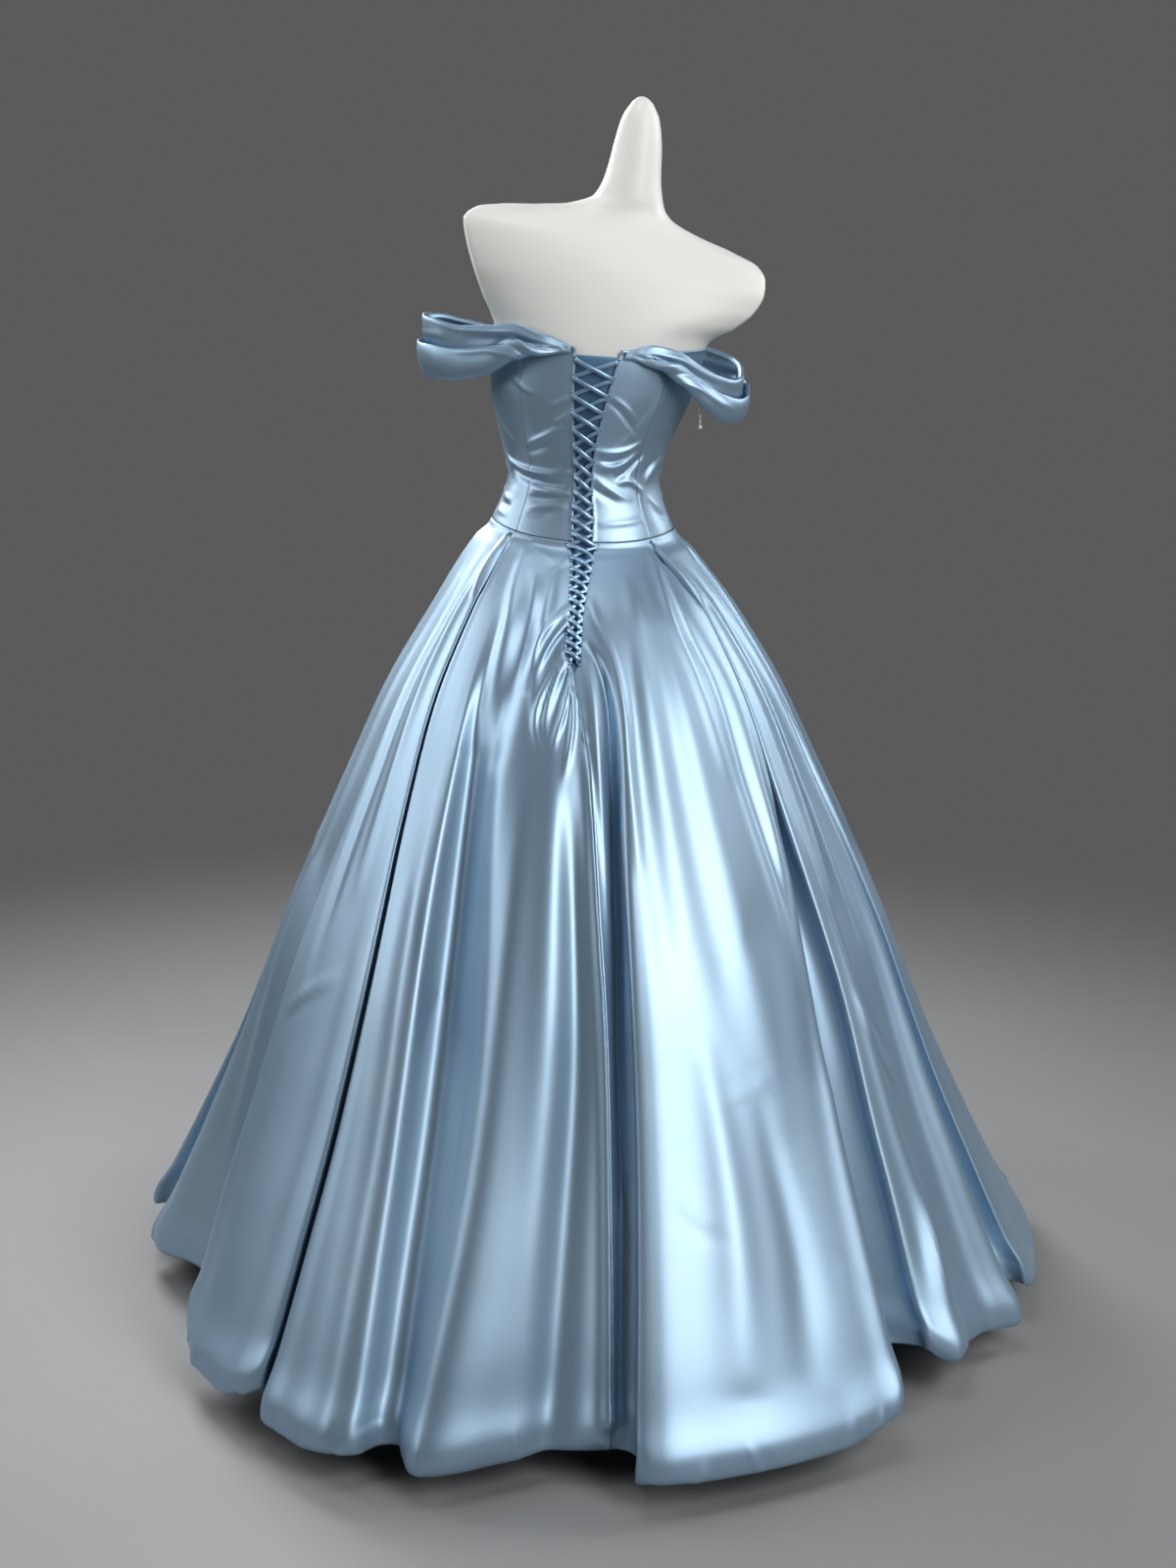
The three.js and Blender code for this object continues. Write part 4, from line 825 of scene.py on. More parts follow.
SKIRT_CREASES = [
    # The two deep pleats where they leave the waist: a slit, and its lifted lip
    crease(3.4, -8, 43.4, 1122, 44.3, 1100, 45.6, 1080, 48.5, 1050, 50.4, 1020),
    crease(4.2, 5, 46.6, 1120, 47.6, 1100, 49, 1080, 51.8, 1052, 53.6, 1020),
    crease(3.2, -7, -46, 1122, -46, 1098, -45.7, 1072, -45, 1036),
    crease(4.2, 5, -49.4, 1118, -49.2, 1090, -48.8, 1062, -48, 1030),
    # The leaf-shaped hollow under the waist, left of the lacing, between its two ridges
    crease((9, 18), (6, 11), -32, 1114, -29, 1060, -26.5, 1005, -27.5, 930, -30, 840),
    crease((8, 13), (6, 8), -13.5, 1088, -13, 1050, -13.5, 1010, -15.5, 965, -17.5, 920),
    crease((9, 17), (-7, -12), -22, 1078, -20.5, 1030, -20, 980, -20.5, 910, -22.5, 820),
    # Pulled by the end of the lacing, down to the wearer's left
    dies(5, 5.5, -4.2, 1028, -9.5, 1012, -13.6, 990, -14.8, 958, -13.8, 925),
    dies(4.5, 5.5, -5, 1010, -9.4, 988, -12.4, 955, -13.6, 915, -12.6, 872),
    dies(4.4, 5.5, -5.2, 980, -8.6, 945, -11.8, 910, -12, 876, -8.6, 838),
    dies(4.0, 5, -5.2, 962, -7.6, 938, -9.2, 914, -9.6, 882, -8.4, 850),
    dies(4.0, 5, -3.6, 944, -4.8, 902, -6.8, 868, -7.6, 838),
    dies(4.0, 4, -2.8, 925, -2.6, 880, -3.8, 838, -5.4, 806),
    dies(3, -3.5, -5.4, 998, -10, 972, -13.2, 936, -13.4, 900),
    dies(3, -3.5, -5.6, 972, -8.8, 936, -10.8, 900, -10.8, 870),
    dies(3, -3, -4.6, 948, -6.8, 912, -8.4, 880),
    crease(2.5, 2, -6.4, 1103, -9.5, 1094, -13, 1080),
    crease(3, -1.8, -7, 1096, -10, 1086, -14, 1066),
    crease(4, 2, -31, 1116, -26, 1110, -20, 1104, -13, 1092),
    grows((12, 24), (3, 9), -35.5, 930, -33.6, 750, -31.6, 600, -29.8, 450, -28.6, 300, -26.8, 60),
    # Right of the seam: the hollow that opens under the lacing, and its edges
    crease((6, 9), (4, 7), 2.2, 1046, 4, 1018, 8.8, 972, 10.8, 912, 10.8, 840, 11, 700),
    crease((5, 9), (-12, -24), 0.6, 985, 4.6, 956, 6.8, 912, 7.2, 830, 6.6, 640, 6.0, 470, 5.9, 300),
    crease((4, 6), (3, 6), 0.6, 968, 2.4, 930, 3.4, 870, 4.8, 720, 5.4, 560),
    # Down the left back panel: a broad fold, the line beside the seam where it ends, and the seam
    grows((14, 46), (5, 14), -13.2, 905, -12.8, 760, -12.6, 580, -12.6, 440, -13, 280, -14, 60),
    grows((9, 28), (-5, -15), -4.6, 850, -2.8, 740, -1.6, 600, -1.4, 476, -2.6, 300, -4, 60),
    grows((6, 12), (3, 12), -0.4, 880, 1.5, 810, 3, 640, 3.9, 479, 3.7, 267, 3.2, 80),
    # Down the right back panel: soft and broad
    crease((9, 18), (-2.5, -3), 15.5, 985, 14, 900, 13.6, 760, 14.5, 560),
    crease((9, 18), (2.5, 2.5), 19.5, 1085, 18.4, 960, 18.4, 800, 19, 600),
    crease((10, 24), (-2.5, -3), 23.5, 1060, 23, 900, 23.5, 700, 25, 480),
    crease((10, 26), (2.5, 3), 28, 1090, 28.5, 900, 29.5, 650, 31, 380),
    crease((7, 12), (4, 7), 40, 1110, 35.5, 1062, 33, 1010, 34.5, 930, 36, 800),
    crease((8, 22), (-5, -12), 40.5, 1085, 39.5, 1000, 42, 930, 41.5, 800, 42.5, 600, 39, 420),
    crease((16, 34), (4, 9), 19, 520, 20, 330, 18, 120),
    crease((14, 30), (-3, -7), 27, 440, 28, 260, 26, 110),
    crease(4, 1.1, 18.8, 436, 25, 446, 32, 464),
    crease(3.6, 1.0, 32.6, 230, 34.6, 218, 36.4, 198),
    crease(5, -1.0, 11.5, 330, 15, 300, 19.5, 285),
    grows((5, 32), (-3, -34), 49.6, 960, 48.2, 760, 47, 560, 46, 400, 45, 240, 44, 60),
    grows((6, 20), (2, 8), 46, 900, 43.5, 700, 41, 520, 38.5, 300, 36.5, 60),
    grows((6, 22), (2, 14), 53.6, 820, 54.4, 600, 54.8, 420, 54.4, 240, 53, 60),
    # The wearer's right side, past the deep pleat
    crease((5, 14), (4, 8), 54, 1090, 58, 960, 58.5, 800, 57, 620),
    crease((6, 14), (-4, -9), 60, 1080, 64, 950, 64.5, 780, 63.5, 560),
    crease(6, 3.4, 53.8, 524, 55, 470, 57.5, 420, 60.5, 376, side=0.6),
    crease(4, -3, 56.5, 540, 58.5, 470, 62, 410),
    grows((14, 20), (4, 16), 58, 330, 55, 220, 52, 130, 50.5, 50),
    crease((8, 20), (4, 8), 69, 1060, 70, 800, 68.5, 480, 67, 200),
    crease((9, 24), (-4, -9), 88, 1080, 89, 840, 90, 520, 89, 180),
    crease((8, 22), (4, 8), 95, 1090, 97.5, 860, 98.5, 500, 98, 140),
    crease(6, 1.7, 80, 620, 87, 640, 95, 630),
    # The left side
    crease((5, 12), (4, 8), -50, 1104, -52.5, 1010, -51, 860, -48.5, 640),
    crease((6, 14), (-4, -8), -55.5, 1090, -58.5, 960, -57, 760, -54, 520),
    crease(7, 2.2, -45, 556, -50, 536, -55, 508, -59, 484, side=-0.4),
    crease(6, -1.4, -48, 530, -54, 500, -58, 462),
    crease(5, 1.4, -66, 458, -63.5, 424, -62.5, 392),
    crease(5, 1.3, -61, 352, -58.5, 330, -57, 300),
    crease((9, 22), (4, 7), -75, 1080, -77, 860, -77, 540, -76, 200),
    crease((9, 24), (-4, -9), -85, 1070, -87, 820, -87.5, 480, -86, 150),
    crease((8, 22), (4, 8), -111, 1090, -113, 860, -112, 520, -111, 140),
    crease(6, 1.8, -84, 700, -90, 672, -94, 632),
    # The front, which the photo doesn't show
    crease((6, 12), (5, 7), -150, 1104, -146.5, 1040, -148, 940, -150, 800),
    crease((7, 15), (-5, -9), -141, 1092, -139.5, 1000, -141, 860, -142.5, 640),
    crease((10, 28), (4, 9), -136, 960, -137, 740, -138, 440, -139, 130),
    crease((12, 30), (-4, -10), -148, 700, -149, 460, -148, 170),
    crease(7, 2.0, -130, 560, -136, 538, -143, 548, side=0.4),
    crease(6, 1.5, -151, 330, -146, 318, -141, 290),
    crease((6, 12), (5, 7), 150, 1100, 147.5, 1030, 149.5, 930, 151, 780),
    crease((7, 16), (-5, -9), 142, 1090, 140.5, 980, 141.5, 840, 143, 600),
    crease((10, 28), (4, 9), 146, 860, 147.5, 600, 148, 340, 147, 110),
    crease((12, 30), (-4, -9), 138.5, 640, 139, 420, 139.5, 160),
    crease(7, 2.0, 151, 470, 145, 500, 139, 492, side=-0.4),
    crease((5, 9), (4, 5), 170, 1080, 171.5, 1030, 170, 960, 168, 860),
    crease((6, 10), (-4, -6), 176.5, 1076, 177.5, 1010, 176.5, 900, 175, 760),
    crease((5, 10), (4, 5), -171, 1078, -173, 1020, -172, 930, -170, 800),
    grows((12, 36), (4, 12), 171, 820, 170.5, 560, 171, 300, 172, 90),
    grows((12, 32), (-4, -12), -179, 780, -178, 520, -178.5, 280, -178, 100),
    crease((10, 30), (4, 9), -170, 760, -169.5, 500, -170, 220),
    crease(6, 1.6, 167, 410, 173, 428, 179, 418),
    crease(6, 1.4, -175, 250, -169, 236, -165, 210),
]
# Broad hollows from the bottom of a fold up its low side: how wide and deep at the hip, knee and
# hem.
VALLEYS = [
    dict(fold="hip_right", wide=(50, 130, 190), deep=(4, 12, 18), top=1060, grow=240),
    dict(fold="front_left", wide=(50, 130, 190), deep=(4, 12, 18), top=1050, grow=240),
]
VALLEY_LEAN = 0.5
# The padded hem's bulge and the waist's piping: how far in from the edge they lie, and their reach
HEM_BULGE = 5.0
HEM_BULGE_AT = (32, 26)
WAIST_PIPING = 0.9
WAIST_PIPING_AT = (3, 1.8)
PUCKERS = 64
PUCKER_FOOT = 44
SEAM_PUCKERS = 27


def hollow(valley, beside, height):
    """How deep a valley is, beside mm from its fold, deepest nearer to the fold."""
    h = height[:, None]
    wide, deep = at_levels(valley["wide"], h), at_levels(valley["deep"], h)
    deep = deep * ease((valley["top"] - h) / valley["grow"])
    x = np.clip(beside / wide, 0, 1)
    return deep * np.sin(math.pi * x ** VALLEY_LEAN) ** 2


def puckers():
    """Small uneven pulls in the padded hem, and down the right of the back seam."""
    made = []
    for i in range(PUCKERS):
        angle = 360 * i / PUCKERS - 180 + 2.1 * math.sin(2.4 * i) + 0.9 * math.sin(7.1 * i)
        tilt = 1.5 * math.sin(1.7 * i + 1)
        high = 78 + 16 * math.sin(3.3 * i)
        deep = 2.2 + 1.3 * math.sin(5.2 * i)
        middle = (angle + tilt * 0.6, (PUCKER_FOOT + high) / 2)
        path = (angle, PUCKER_FOOT, *middle, angle + tilt, high)
        made.append(dies((5.5, 3), deep if i % 3 else -deep, *path))
    for i in range(SEAM_PUCKERS):
        height = 900 - 31 * i + 7 * math.sin(2.9 * i)
        angle = float(read(BACK_SEAM, "angle", np.array(height)))
        long = 1.7 + 0.6 * math.sin(4.1 * i)
        path = (angle, height, angle + long / 2, height - 5, angle + long, height - 15)
        made.append(dies(2.6, 1.0 + 0.4 * math.sin(1.9 * i), *path))
    return made


CAMERA_SENSOR = 36
CAMERA_LENS = 42.75
CAMERA_PLACE = (-0.007, 2.650, 1.310)
CAMERA_TILT = 78


def frame_camera():
    """The photo's view, from behind and a little above the waist."""
    lens = bpy.data.cameras.new("photo_camera")
    lens.sensor_width = CAMERA_SENSOR
    lens.lens = CAMERA_LENS
    camera = bpy.data.objects.new("photo_camera", lens)
    camera.location = CAMERA_PLACE
    camera.rotation_euler = (math.radians(CAMERA_TILT), 0, math.pi)
    bpy.context.scene.collection.objects.link(camera)
    bpy.context.scene.camera = camera
    bpy.context.scene.view_settings.view_transform = "Standard"
    bpy.context.scene.view_settings.look = "High Contrast"


# Materials


def set_inputs(node, **values):
    """Sets a node's inputs by name, where _ stands for a space."""
    for name, value in values.items():
        node.inputs[name.replace("_", " ")].default_value = value


def material(name, color, roughness):
    made = bpy.data.materials.new(name)
    made.use_nodes = True
    surface = made.node_tree.nodes["Principled BSDF"]
    set_inputs(surface, Base_Color=(*color, 1), Roughness=roughness)
    return made, made.node_tree, surface


def on_object(tree):
    return tree.nodes.new("ShaderNodeTexCoord").outputs["Object"]


def noise(tree, coordinates, scale, stretch=(1, 1, 1), detail=3.0):
    mapping = tree.nodes.new("ShaderNodeMapping")
    set_inputs(mapping, Scale=stretch)
    tree.links.new(coordinates, mapping.inputs["Vector"])
    made = tree.nodes.new("ShaderNodeTexNoise")
    set_inputs(made, Scale=scale, Detail=detail)
    tree.links.new(mapping.outputs["Vector"], made.inputs["Vector"])
    return made.outputs["Fac"]


def ramp(tree, value, low, high, start=0.3, stop=0.7):
    made = tree.nodes.new("ShaderNodeValToRGB")
    for end, position, color in zip(made.color_ramp.elements, (start, stop), (low, high)):
        end.position = position
        end.color = (*color, 1)
    tree.links.new(value, made.inputs["Fac"])
    return made.outputs["Color"]


def bump(tree, surface, value, strength, distance):
    made = tree.nodes.new("ShaderNodeBump")
    set_inputs(made, Strength=strength, Distance=distance)
    tree.links.new(value, made.inputs["Height"])
    tree.links.new(made.outputs["Normal"], surface.inputs["Normal"])


def satin(name, deep, pale, roughness=0.45):
    """Duchess satin: a close weave with a broad soft sheen and faint slubs along the thread."""
    made, tree, surface = material(name, pale, roughness)
    place = on_object(tree)
    tone = noise(tree, place, 3.0, detail=2.0)
    tree.links.new(ramp(tree, tone, deep, pale), surface.inputs["Base Color"])
    set_inputs(surface, Metallic=0.66, Specular_IOR_Level=0.8, Coat_Weight=0.15, Coat_Roughness=0.4,
               Sheen_Weight=0.06, Sheen_Roughness=0.4, Sheen_Tint=(0.8, 0.9, 1.0, 1),
               Anisotropic=0.3)
    weave = noise(tree, place, 900.0, (1, 1, 0.25), detail=1.0)
    bump(tree, surface, weave, 0.12, 0.0004)
    return made


def form_shell():
    made, tree, surface = material("form_shell", (0.83, 0.83, 0.79), 0.48)
    place = on_object(tree)
    tone = noise(tree, place, 2.2)
    shade = ramp(tree, tone, (0.79, 0.79, 0.755), (0.86, 0.86, 0.83))
    tree.links.new(shade, surface.inputs["Base Color"])
    set_inputs(surface, Coat_Weight=0.12, Coat_Roughness=0.3)
    bump(tree, surface, noise(tree, place, 14.0), 0.05, 0.002)
    return made


def steel():
    made, tree, surface = material("stand_steel", (0.6, 0.61, 0.62), 0.34)
    set_inputs(surface, Metallic=1.0)
    place = on_object(tree)
    grain = noise(tree, place, 60.0, (1, 1, 14))
    tree.links.new(ramp(tree, grain, (0.26,) * 3, (0.42,) * 3), surface.inputs["Roughness"])
    return made


SATIN = satin("satin", (0.36, 0.49, 0.615), (0.42, 0.55, 0.665))
LACE_SATIN = satin("lace_satin", (0.36, 0.52, 0.68), (0.44, 0.60, 0.75), roughness=0.36)
# The modesty panel's satin is the same satin painted darker: painted shade for its recess under the
# lacing.
SHADED_SATIN = satin("satin_painted_shade_under_the_lace", (0.15, 0.26, 0.39), (0.20, 0.33, 0.47), roughness=0.55)
SHELL_WHITE = form_shell()


# Pieces


def dress(piece, *nodes, slot="satin"):
    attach(piece, "root")
    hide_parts(*nodes)
    return piece


def make_skirt():
    for name, grid in skirt_grids().items():
        piece = dress(shell(name + "_satin", grid, SATIN, edge=SEAM_EDGE), name)


def laced_edge(side, height):
    return angle_at(side * read(LACED_GAP, "half", height), height)


BODICE_STEP = 2.6
BODICE_LONG = 250
BODICE_CREASES = [
    # Left of the lacing: three short pulls, then the strong fold at the waist
    crease(3.6, 1.8, -8, 1298, -14, 1290, -21, 1281),
    crease(3.6, 2.2, -5, 1281, -12, 1270, -19, 1260),
    crease(4.2, 3.0, -13, 1258, -22, 1247, -32, 1238, -43, 1230),
    crease(5, -1.8, -24, 1234, -34, 1226, -44, 1222),
    crease(4.0, 4.6, -76, 1220, -68, 1208, -54, 1199, -40, 1194, -24, 1192, -6, 1196, side=0.4),
    crease(4.6, -4.4, -66, 1201, -54, 1190, -40, 1184, -26, 1180, -12, 1179),
    crease(4.4, 2.6, -40, 1174, -28, 1170, -14, 1168, -5, 1169),
    crease(4.0, -2.2, -42, 1160, -30, 1159, -16, 1160),
    crease(3.6, 2.2, -40, 1146, -30, 1149, -18, 1151, -9, 1150),
    crease(3.4, -1.6, -38, 1136, -26, 1138, -14, 1141),
    crease(3.6, 2.4, -76, 1160, -66, 1157, -56, 1153),
    crease(3.4, -2.0, -74, 1149, -64, 1146, -56, 1144),
    crease(3.2, 1.6, -78, 1140, -66, 1136, -55, 1132),
    crease(3.2, 1.2, -50, 1322, -40, 1306, -30, 1296),
    crease(4.0, 1.4, -72, 1262, -62, 1244, -54, 1230),
    # Right of the lacing
    crease(4.0, 3.0, 5, 1226, 16, 1224, 28, 1228, 42, 1242, side=0.3),
    crease(4.0, -2.4, 8, 1216, 20, 1214, 32, 1222),
    crease(3.8, 2.8, 9, 1207, 20, 1206, 30, 1214, 40, 1230),
    crease(4.0, -4.0, 22, 1190, 30, 1199, 38, 1214, 46, 1230),
    crease(3.8, 3.2, 24, 1184, 34, 1188, 42, 1181, 48, 1172),
    crease(4.4, 3.4, 52, 1186, 58, 1198, 64, 1212, 72, 1222),
    crease(4.0, -3.0, 48, 1194, 54, 1208, 60, 1220),
    crease(2.8, -1.8, 8, 1296, 17, 1282, 26, 1264, 34, 1250),
    crease(3.0, 1.4, 10, 1300, 20, 1286, 30, 1266),
    crease(5.0, 2.0, 3, 1196, 12, 1184, 24, 1171, 36, 1162),
    crease(5.0, -1.8, 4, 1180, 14, 1168, 26, 1156),
    crease(4.6, 2.0, 8, 1128, 20, 1131, 32, 1135, 42, 1139),
    crease(3.6, 1.6, 52, 1168, 62, 1156, 72, 1150),
    crease(3.4, -1.6, 54, 1150, 64, 1142, 76, 1140),
    crease(3.6, 1.2, 50, 1290, 58, 1272, 70, 1262),
    # Round to the sides and the front
    crease(4.4, 3.2, 82, 1204, 94, 1196, 108, 1194, 120, 1200, side=0.4),
    crease(4.4, -2.8, 84, 1190, 98, 1183, 112, 1184),
    crease(3.8, 2.2, 86, 1172, 98, 1168, 110, 1172),
    crease(3.6, 1.8, 124, 1180, 134, 1172, 144, 1170),
    crease(4.4, 3.0, -84, 1206, -96, 1198, -108, 1196, -122, 1204, side=-0.4),
    crease(4.4, -2.8, -88, 1192, -100, 1185, -114, 1187),
    crease(3.6, 2.0, -90, 1170, -102, 1166, -112, 1170),
    crease(3.6, 1.8, -126, 1178, -136, 1171, -146, 1172),
    crease(4.2, 1.8, 156, 1196, 168, 1188, 182, 1190, 194, 1186),
    crease(4.2, -1.6, 160, 1180, 174, 1175, 190, 1176),
    crease(3.6, 1.4, 158, 1156, 170, 1152, 180, 1154),
    crease(3.2, 1.2, 112, 1262, 122, 1250, 132, 1246),
    crease(3.2, 1.2, -112, 1258, -122, 1248, -134, 1246),
]
ROLLED_EDGE = 1.1
DEEPEST_TROUGH = -3.0  # so that no crease reaches the form
SEAM_GROOVE = 0.4
# Rolls and grooves beside the bodice's edges: how far in they lie and how far they reach
NECK_ROLL = (2.2, 1.7)
LACED_ROLL = (2.0, 1.6)
WAIST_GROOVE = (0, 1.6)
SIDE_GROOVE = (0, 1.5)


def edge_relief(wide, across, down, laced_left, laced_right):
    """The rolled neckline and laced edges stand a little proud, and the seams lie a little in."""
    raised = ROLLED_EDGE * swell(down * BODICE_LONG, NECK_ROLL)
    raised = raised - SEAM_GROOVE * swell((1 - down) * BODICE_LONG, WAIST_GROOVE)
    for share, laced in ((across, laced_left), (1 - across, laced_right)):
        if laced:
            raised = raised + ROLLED_EDGE * swell(share * wide, LACED_ROLL)
        else:
            raised = raised - SEAM_GROOVE * swell(share * wide, SIDE_GROOVE)
    return raised


def make_bodice():
    seam = math.degrees(SEAM / 2 / SEAM_RADIUS)
    for name, start, end in BODICE:
        wide = math.radians(end - start) * SEAM_RADIUS
        across = spread(wide, BODICE_STEP)[None, :]
        down = spread(BODICE_LONG, BODICE_STEP)[:, None]
        rough = mix(start, end, across)
        high = mix(neck_height(rough), waist_height(rough), down)
        left = laced_edge(1, high) if start == 0 else start + seam
        right = laced_edge(-1, high) if end == 0 else end - seam
        angle = mix(left, right, across)
        height = mix(neck_height(angle), waist_height(angle), down)
        raised = press(angle, height, BODICE_CREASES, SEAM_RADIUS)
        raised = raised + edge_relief(wide, across, down, start == 0, end == 0)
        grid = on_form(angle, height, BODICE_OFF_FORM + CLOTH + np.maximum(raised, DEEPEST_TROUGH))
        piece = dress(shell(name + "_satin", grid, SATIN), name)


def back_height(along):
    return np.where(along > WAIST_SIDE, along - WAIST_BACK_DIP, along)


def gap_half(along):
    return read(LACED_GAP, "half", back_height(along))


def on_back(right, along):
    """A point of the laced back, so far right of the middle of the gap."""
    height = back_height(along)
    bodice = on_form(angle_at(right, height), height, BODICE_OFF_FORM + CLOTH)
    middle = read(LACED_GAP, "middle", height)
    skirt = on_skirt(middle + np.degrees(right / read(SKIRT, "deep", height)), height, 0.0)
    return np.where((along > WAIST_SIDE)[..., None], bodice, skirt)


def make_modesty_panel():
    along = np.linspace(PANEL_TOP + WAIST_BACK_DIP, PANEL_BOTTOM, PANEL_ROWS)[:, None]
    reach = gap_half(along) + PANEL_UNDER
    grid = on_back(np.linspace(-1, 1, PANEL_COLUMNS) * reach, along + 0 * reach)
    grid = grid - outward(grid) * (CLOTH + MODESTY_GAP)
    # The panel takes the darker satin: painted shade in the gap between the laced edges.
    panel = shell("modesty_panel_satin", grid, SHADED_SATIN, thickness=PANEL_SHELL)
    piece = dress(panel, "modesty_panel")


def lace_height(t):
    """Where the lace is along the back, t of the way down, closer together towards its end."""
    return mix(LACE_TOP + WAIST_BACK_DIP, LACE_BOTTOM, t + LACE_SPREAD * t * (1 - t))


def lace_run(side):
    points, outs = [], []
    for row in range(LACE_ROWS + 1):
        for part in LACE_PARTS if row < LACE_ROWS else (0,):
            along = lace_height((row + part) / LACE_ROWS)
            turn = side * (1 if row % 2 else -1)
            right = turn * (2 * part - 1) * (gap_half(np.array(along)) + LACE_ON_EDGE)
            over = LACE_THICK + LACE_GAP if turn > 0 and part > 0 else 0
            level = np.array([along - LACE_LEVEL, along + LACE_LEVEL, along, along, along])
            at = on_back(np.array([right, right, right + 2, right - 2, right]), level)
            out = unit(np.cross(at[0] - at[1], at[2] - at[3]))
            points.append(at[4] + out * (LACE_GAP + LACE_THICK / 2 + over))
            outs.append(out)
    return np.array(points), np.array(outs)


def make_lace():
    for side, name in ((-1, "lace_from_left"), (1, "lace_from_right")):
        points, outs = lace_run(side)
        path, out = smooth_path(points, LACE_STEPS), unit(smooth_path(outs, LACE_STEPS))
        along = unit(np.gradient(path, axis=0))
        wide = unit(np.cross(out, along)) * LACE_WIDE / 2
        thick = unit(np.cross(along, wide)) * LACE_THICK / 2
        lace = joined([tube(path, wide, thick)] + lace_loops(side))
        dress(new_object(name + "_rouleau", *lace, LACE_SATIN), name, slot="lace_satin")


def lace_loops(side):
    """The small cloth loops down one laced edge that hold the lace."""
    loops = []
    turn = np.linspace(-1, 1, 9) * math.pi / 2
    for row in range(LACE_ROWS + 1):
        level = lace_height(row / LACE_ROWS) + LOOP_HALF * np.sin(turn)
        inward = LOOP_REACH * np.cos(turn) - LOOP_ROOT
        right = side * (gap_half(level) - inward)
        high = on_back(right, level + 1)
        low = on_back(right, level - 1)
        beside = on_back(right + 1, level)
        out = unit(np.cross(low - high, beside - on_back(right, level)))
        path = on_back(right, level) + out * LOOP_OUT
        forward = unit(np.gradient(path, axis=0))
        wide = unit(np.cross(out, forward)) * LOOP_THICK / 2
        loops.append(tube(path, wide, unit(np.cross(forward, wide)) * LOOP_THICK / 2, sides=8))
    return loops


SLEEVE_COLUMNS = 220
SLEEVE_STATION = 34
SLEEVE_CLEAR = 1.3
SLEEVE_SHELL = 1.5
BAND_TALL = 60
BAND_STEPS = 5
# The sleeves' soft folds, by how far along from the centre back and how far below the top edge.
SLEEVE_CREASES = [
    crease((3, 5), (2.4, 2.0), 16, -6, 60, -13, 110, -18, 170, -16, 230, -12),
    crease((3, 5), (-2.4, -2.0), 18, -11, 64, -22, 112, -29, 168, -28),
    crease((3.4, 6), (2.6, 2.4), 20, -14, 62, -32, 108, -46, 160, -58, 210, -64),
    crease((3, 4), (-2.0, -1.8), 40, -34, 86, -52, 130, -66, 176, -78),
    crease((3, 4.5), (2.2, 1.6), 70, -58, 112, -74, 156, -84, 190, -86),
    crease(3.4, 2.2, 96, -26, 112, -38, 134, -56, 150, -72),
    crease(3.2, -2.0, 108, -24, 124, -36, 146, -52, 164, -66),
    crease(4, 2.0, 190, -30, 240, -36, 290, -34, 340, -40),
    crease(4, -1.8, 200, -46, 250, -52, 310, -50),
    crease(4, 2.0, 250, -70, 300, -76, 350, -70),
    crease((5, 3), (2.2, 2.4), 300, -22, 350, -18, 400, -15, 450, -8),
    crease((5, 3), (-2.0, -2.2), 310, -34, 360, -30, 410, -22, 450, -13),
    crease((5, 3), (2.2, 2.2), 340, -58, 390, -46, 430, -30, 456, -16),
]


def make_sleeve(name, stations, side):
    stations = dict(stations, i=np.arange(len(stations["right"]), dtype=float))
    t = np.linspace(0, len(stations["right"]) - 1, SLEEVE_COLUMNS)

    def at(column, where=t):
        return read(stations, column, where, along="i")

    step = 0.05
    along = np.stack([at("right", t + step) - at("right", t - step),
                      at("back", t + step) - at("back", t - step)], axis=-1)
    along = unit(along)
    out = np.stack([-along[:, 1], along[:, 0]], axis=-1) * side
    pleated = np.stack([BAND["out"], BAND["down"] * BAND_TALL], axis=-1)[None]
    plain = np.stack([BAND["flat"], BAND["flatDown"] * BAND_TALL], axis=-1)[None]

    def fine(points):
        ends = (2 * points[:, 0] - points[:, 1], 2 * points[:, -1] - points[:, -2])
        return through(points, ends, [BAND_STEPS] * (points.shape[1] - 1))[0][0]

    pleated, plain = fine(pleated), fine(plain)
    fold = at("fold")[None, :]
    proud = mix(plain[:, :1], pleated[:, :1], fold)
    down = mix(plain[:, 1:], pleated[:, 1:], fold) / BAND_TALL
    proud = proud + at("lean")[None, :] * down
    height = at("height")[None, :] - down * at("tall")[None, :]
    free = np.stack([-(at("right")[None, :] + out[None, :, 0] * proud),
                     at("back")[None, :] + out[None, :, 1] * proud, height], axis=-1)
    off = BODICE_OFF_FORM + 2 * CLOTH + SLEEVE_CLEAR + proud
    hugging = on_form(at("angle")[None, :], height, off)
    grid = mix(free, hugging, at("hug")[None, :, None])
    if side < 0:
        grid = grid[:, ::-1]
        t = t[::-1]
    along, below = np.broadcast_arrays(t[None, :] * SLEEVE_STATION, -lengths(grid, 0))
    raised = press(along, below, SLEEVE_CREASES, math.degrees(1), turns=(0,))
    grid = grid + outward(grid) * raised[..., None]
    piece = dress(shell(name + "_satin", grid, SATIN, thickness=SLEEVE_SHELL), name)


# The little bead drop under the right sleeve: where it hangs, and its beads from the top down.
DROP_PLACE = (-160, 60, 1284)
DROP_BEADS = [1.3, 1.9, 1.3, 2.4, 1.3, 1.9, 1.3, 3.0]


def bead_drop():
    parts = []
    place = np.array(DROP_PLACE, float)
    for size in DROP_BEADS:
        place = place - np.array([0, 0, size])
        turn = np.linspace(-math.pi / 2, math.pi / 2, 9)[1:-1]
        path = place + np.outer(np.sin(turn) * size, (0, 0, 1))
        wide, thick = (np.outer(np.cos(turn) * size, axis) for axis in ((1, 0, 0), (0, 1, 0)))
        parts.append(tube(path, wide, thick, sides=12))
        place = place - np.array([0, 0, size])
    piece = new_object("bead_drop", *joined(parts), SHELL_WHITE)
    dress(piece, "sleeve_right", slot="form_shell")


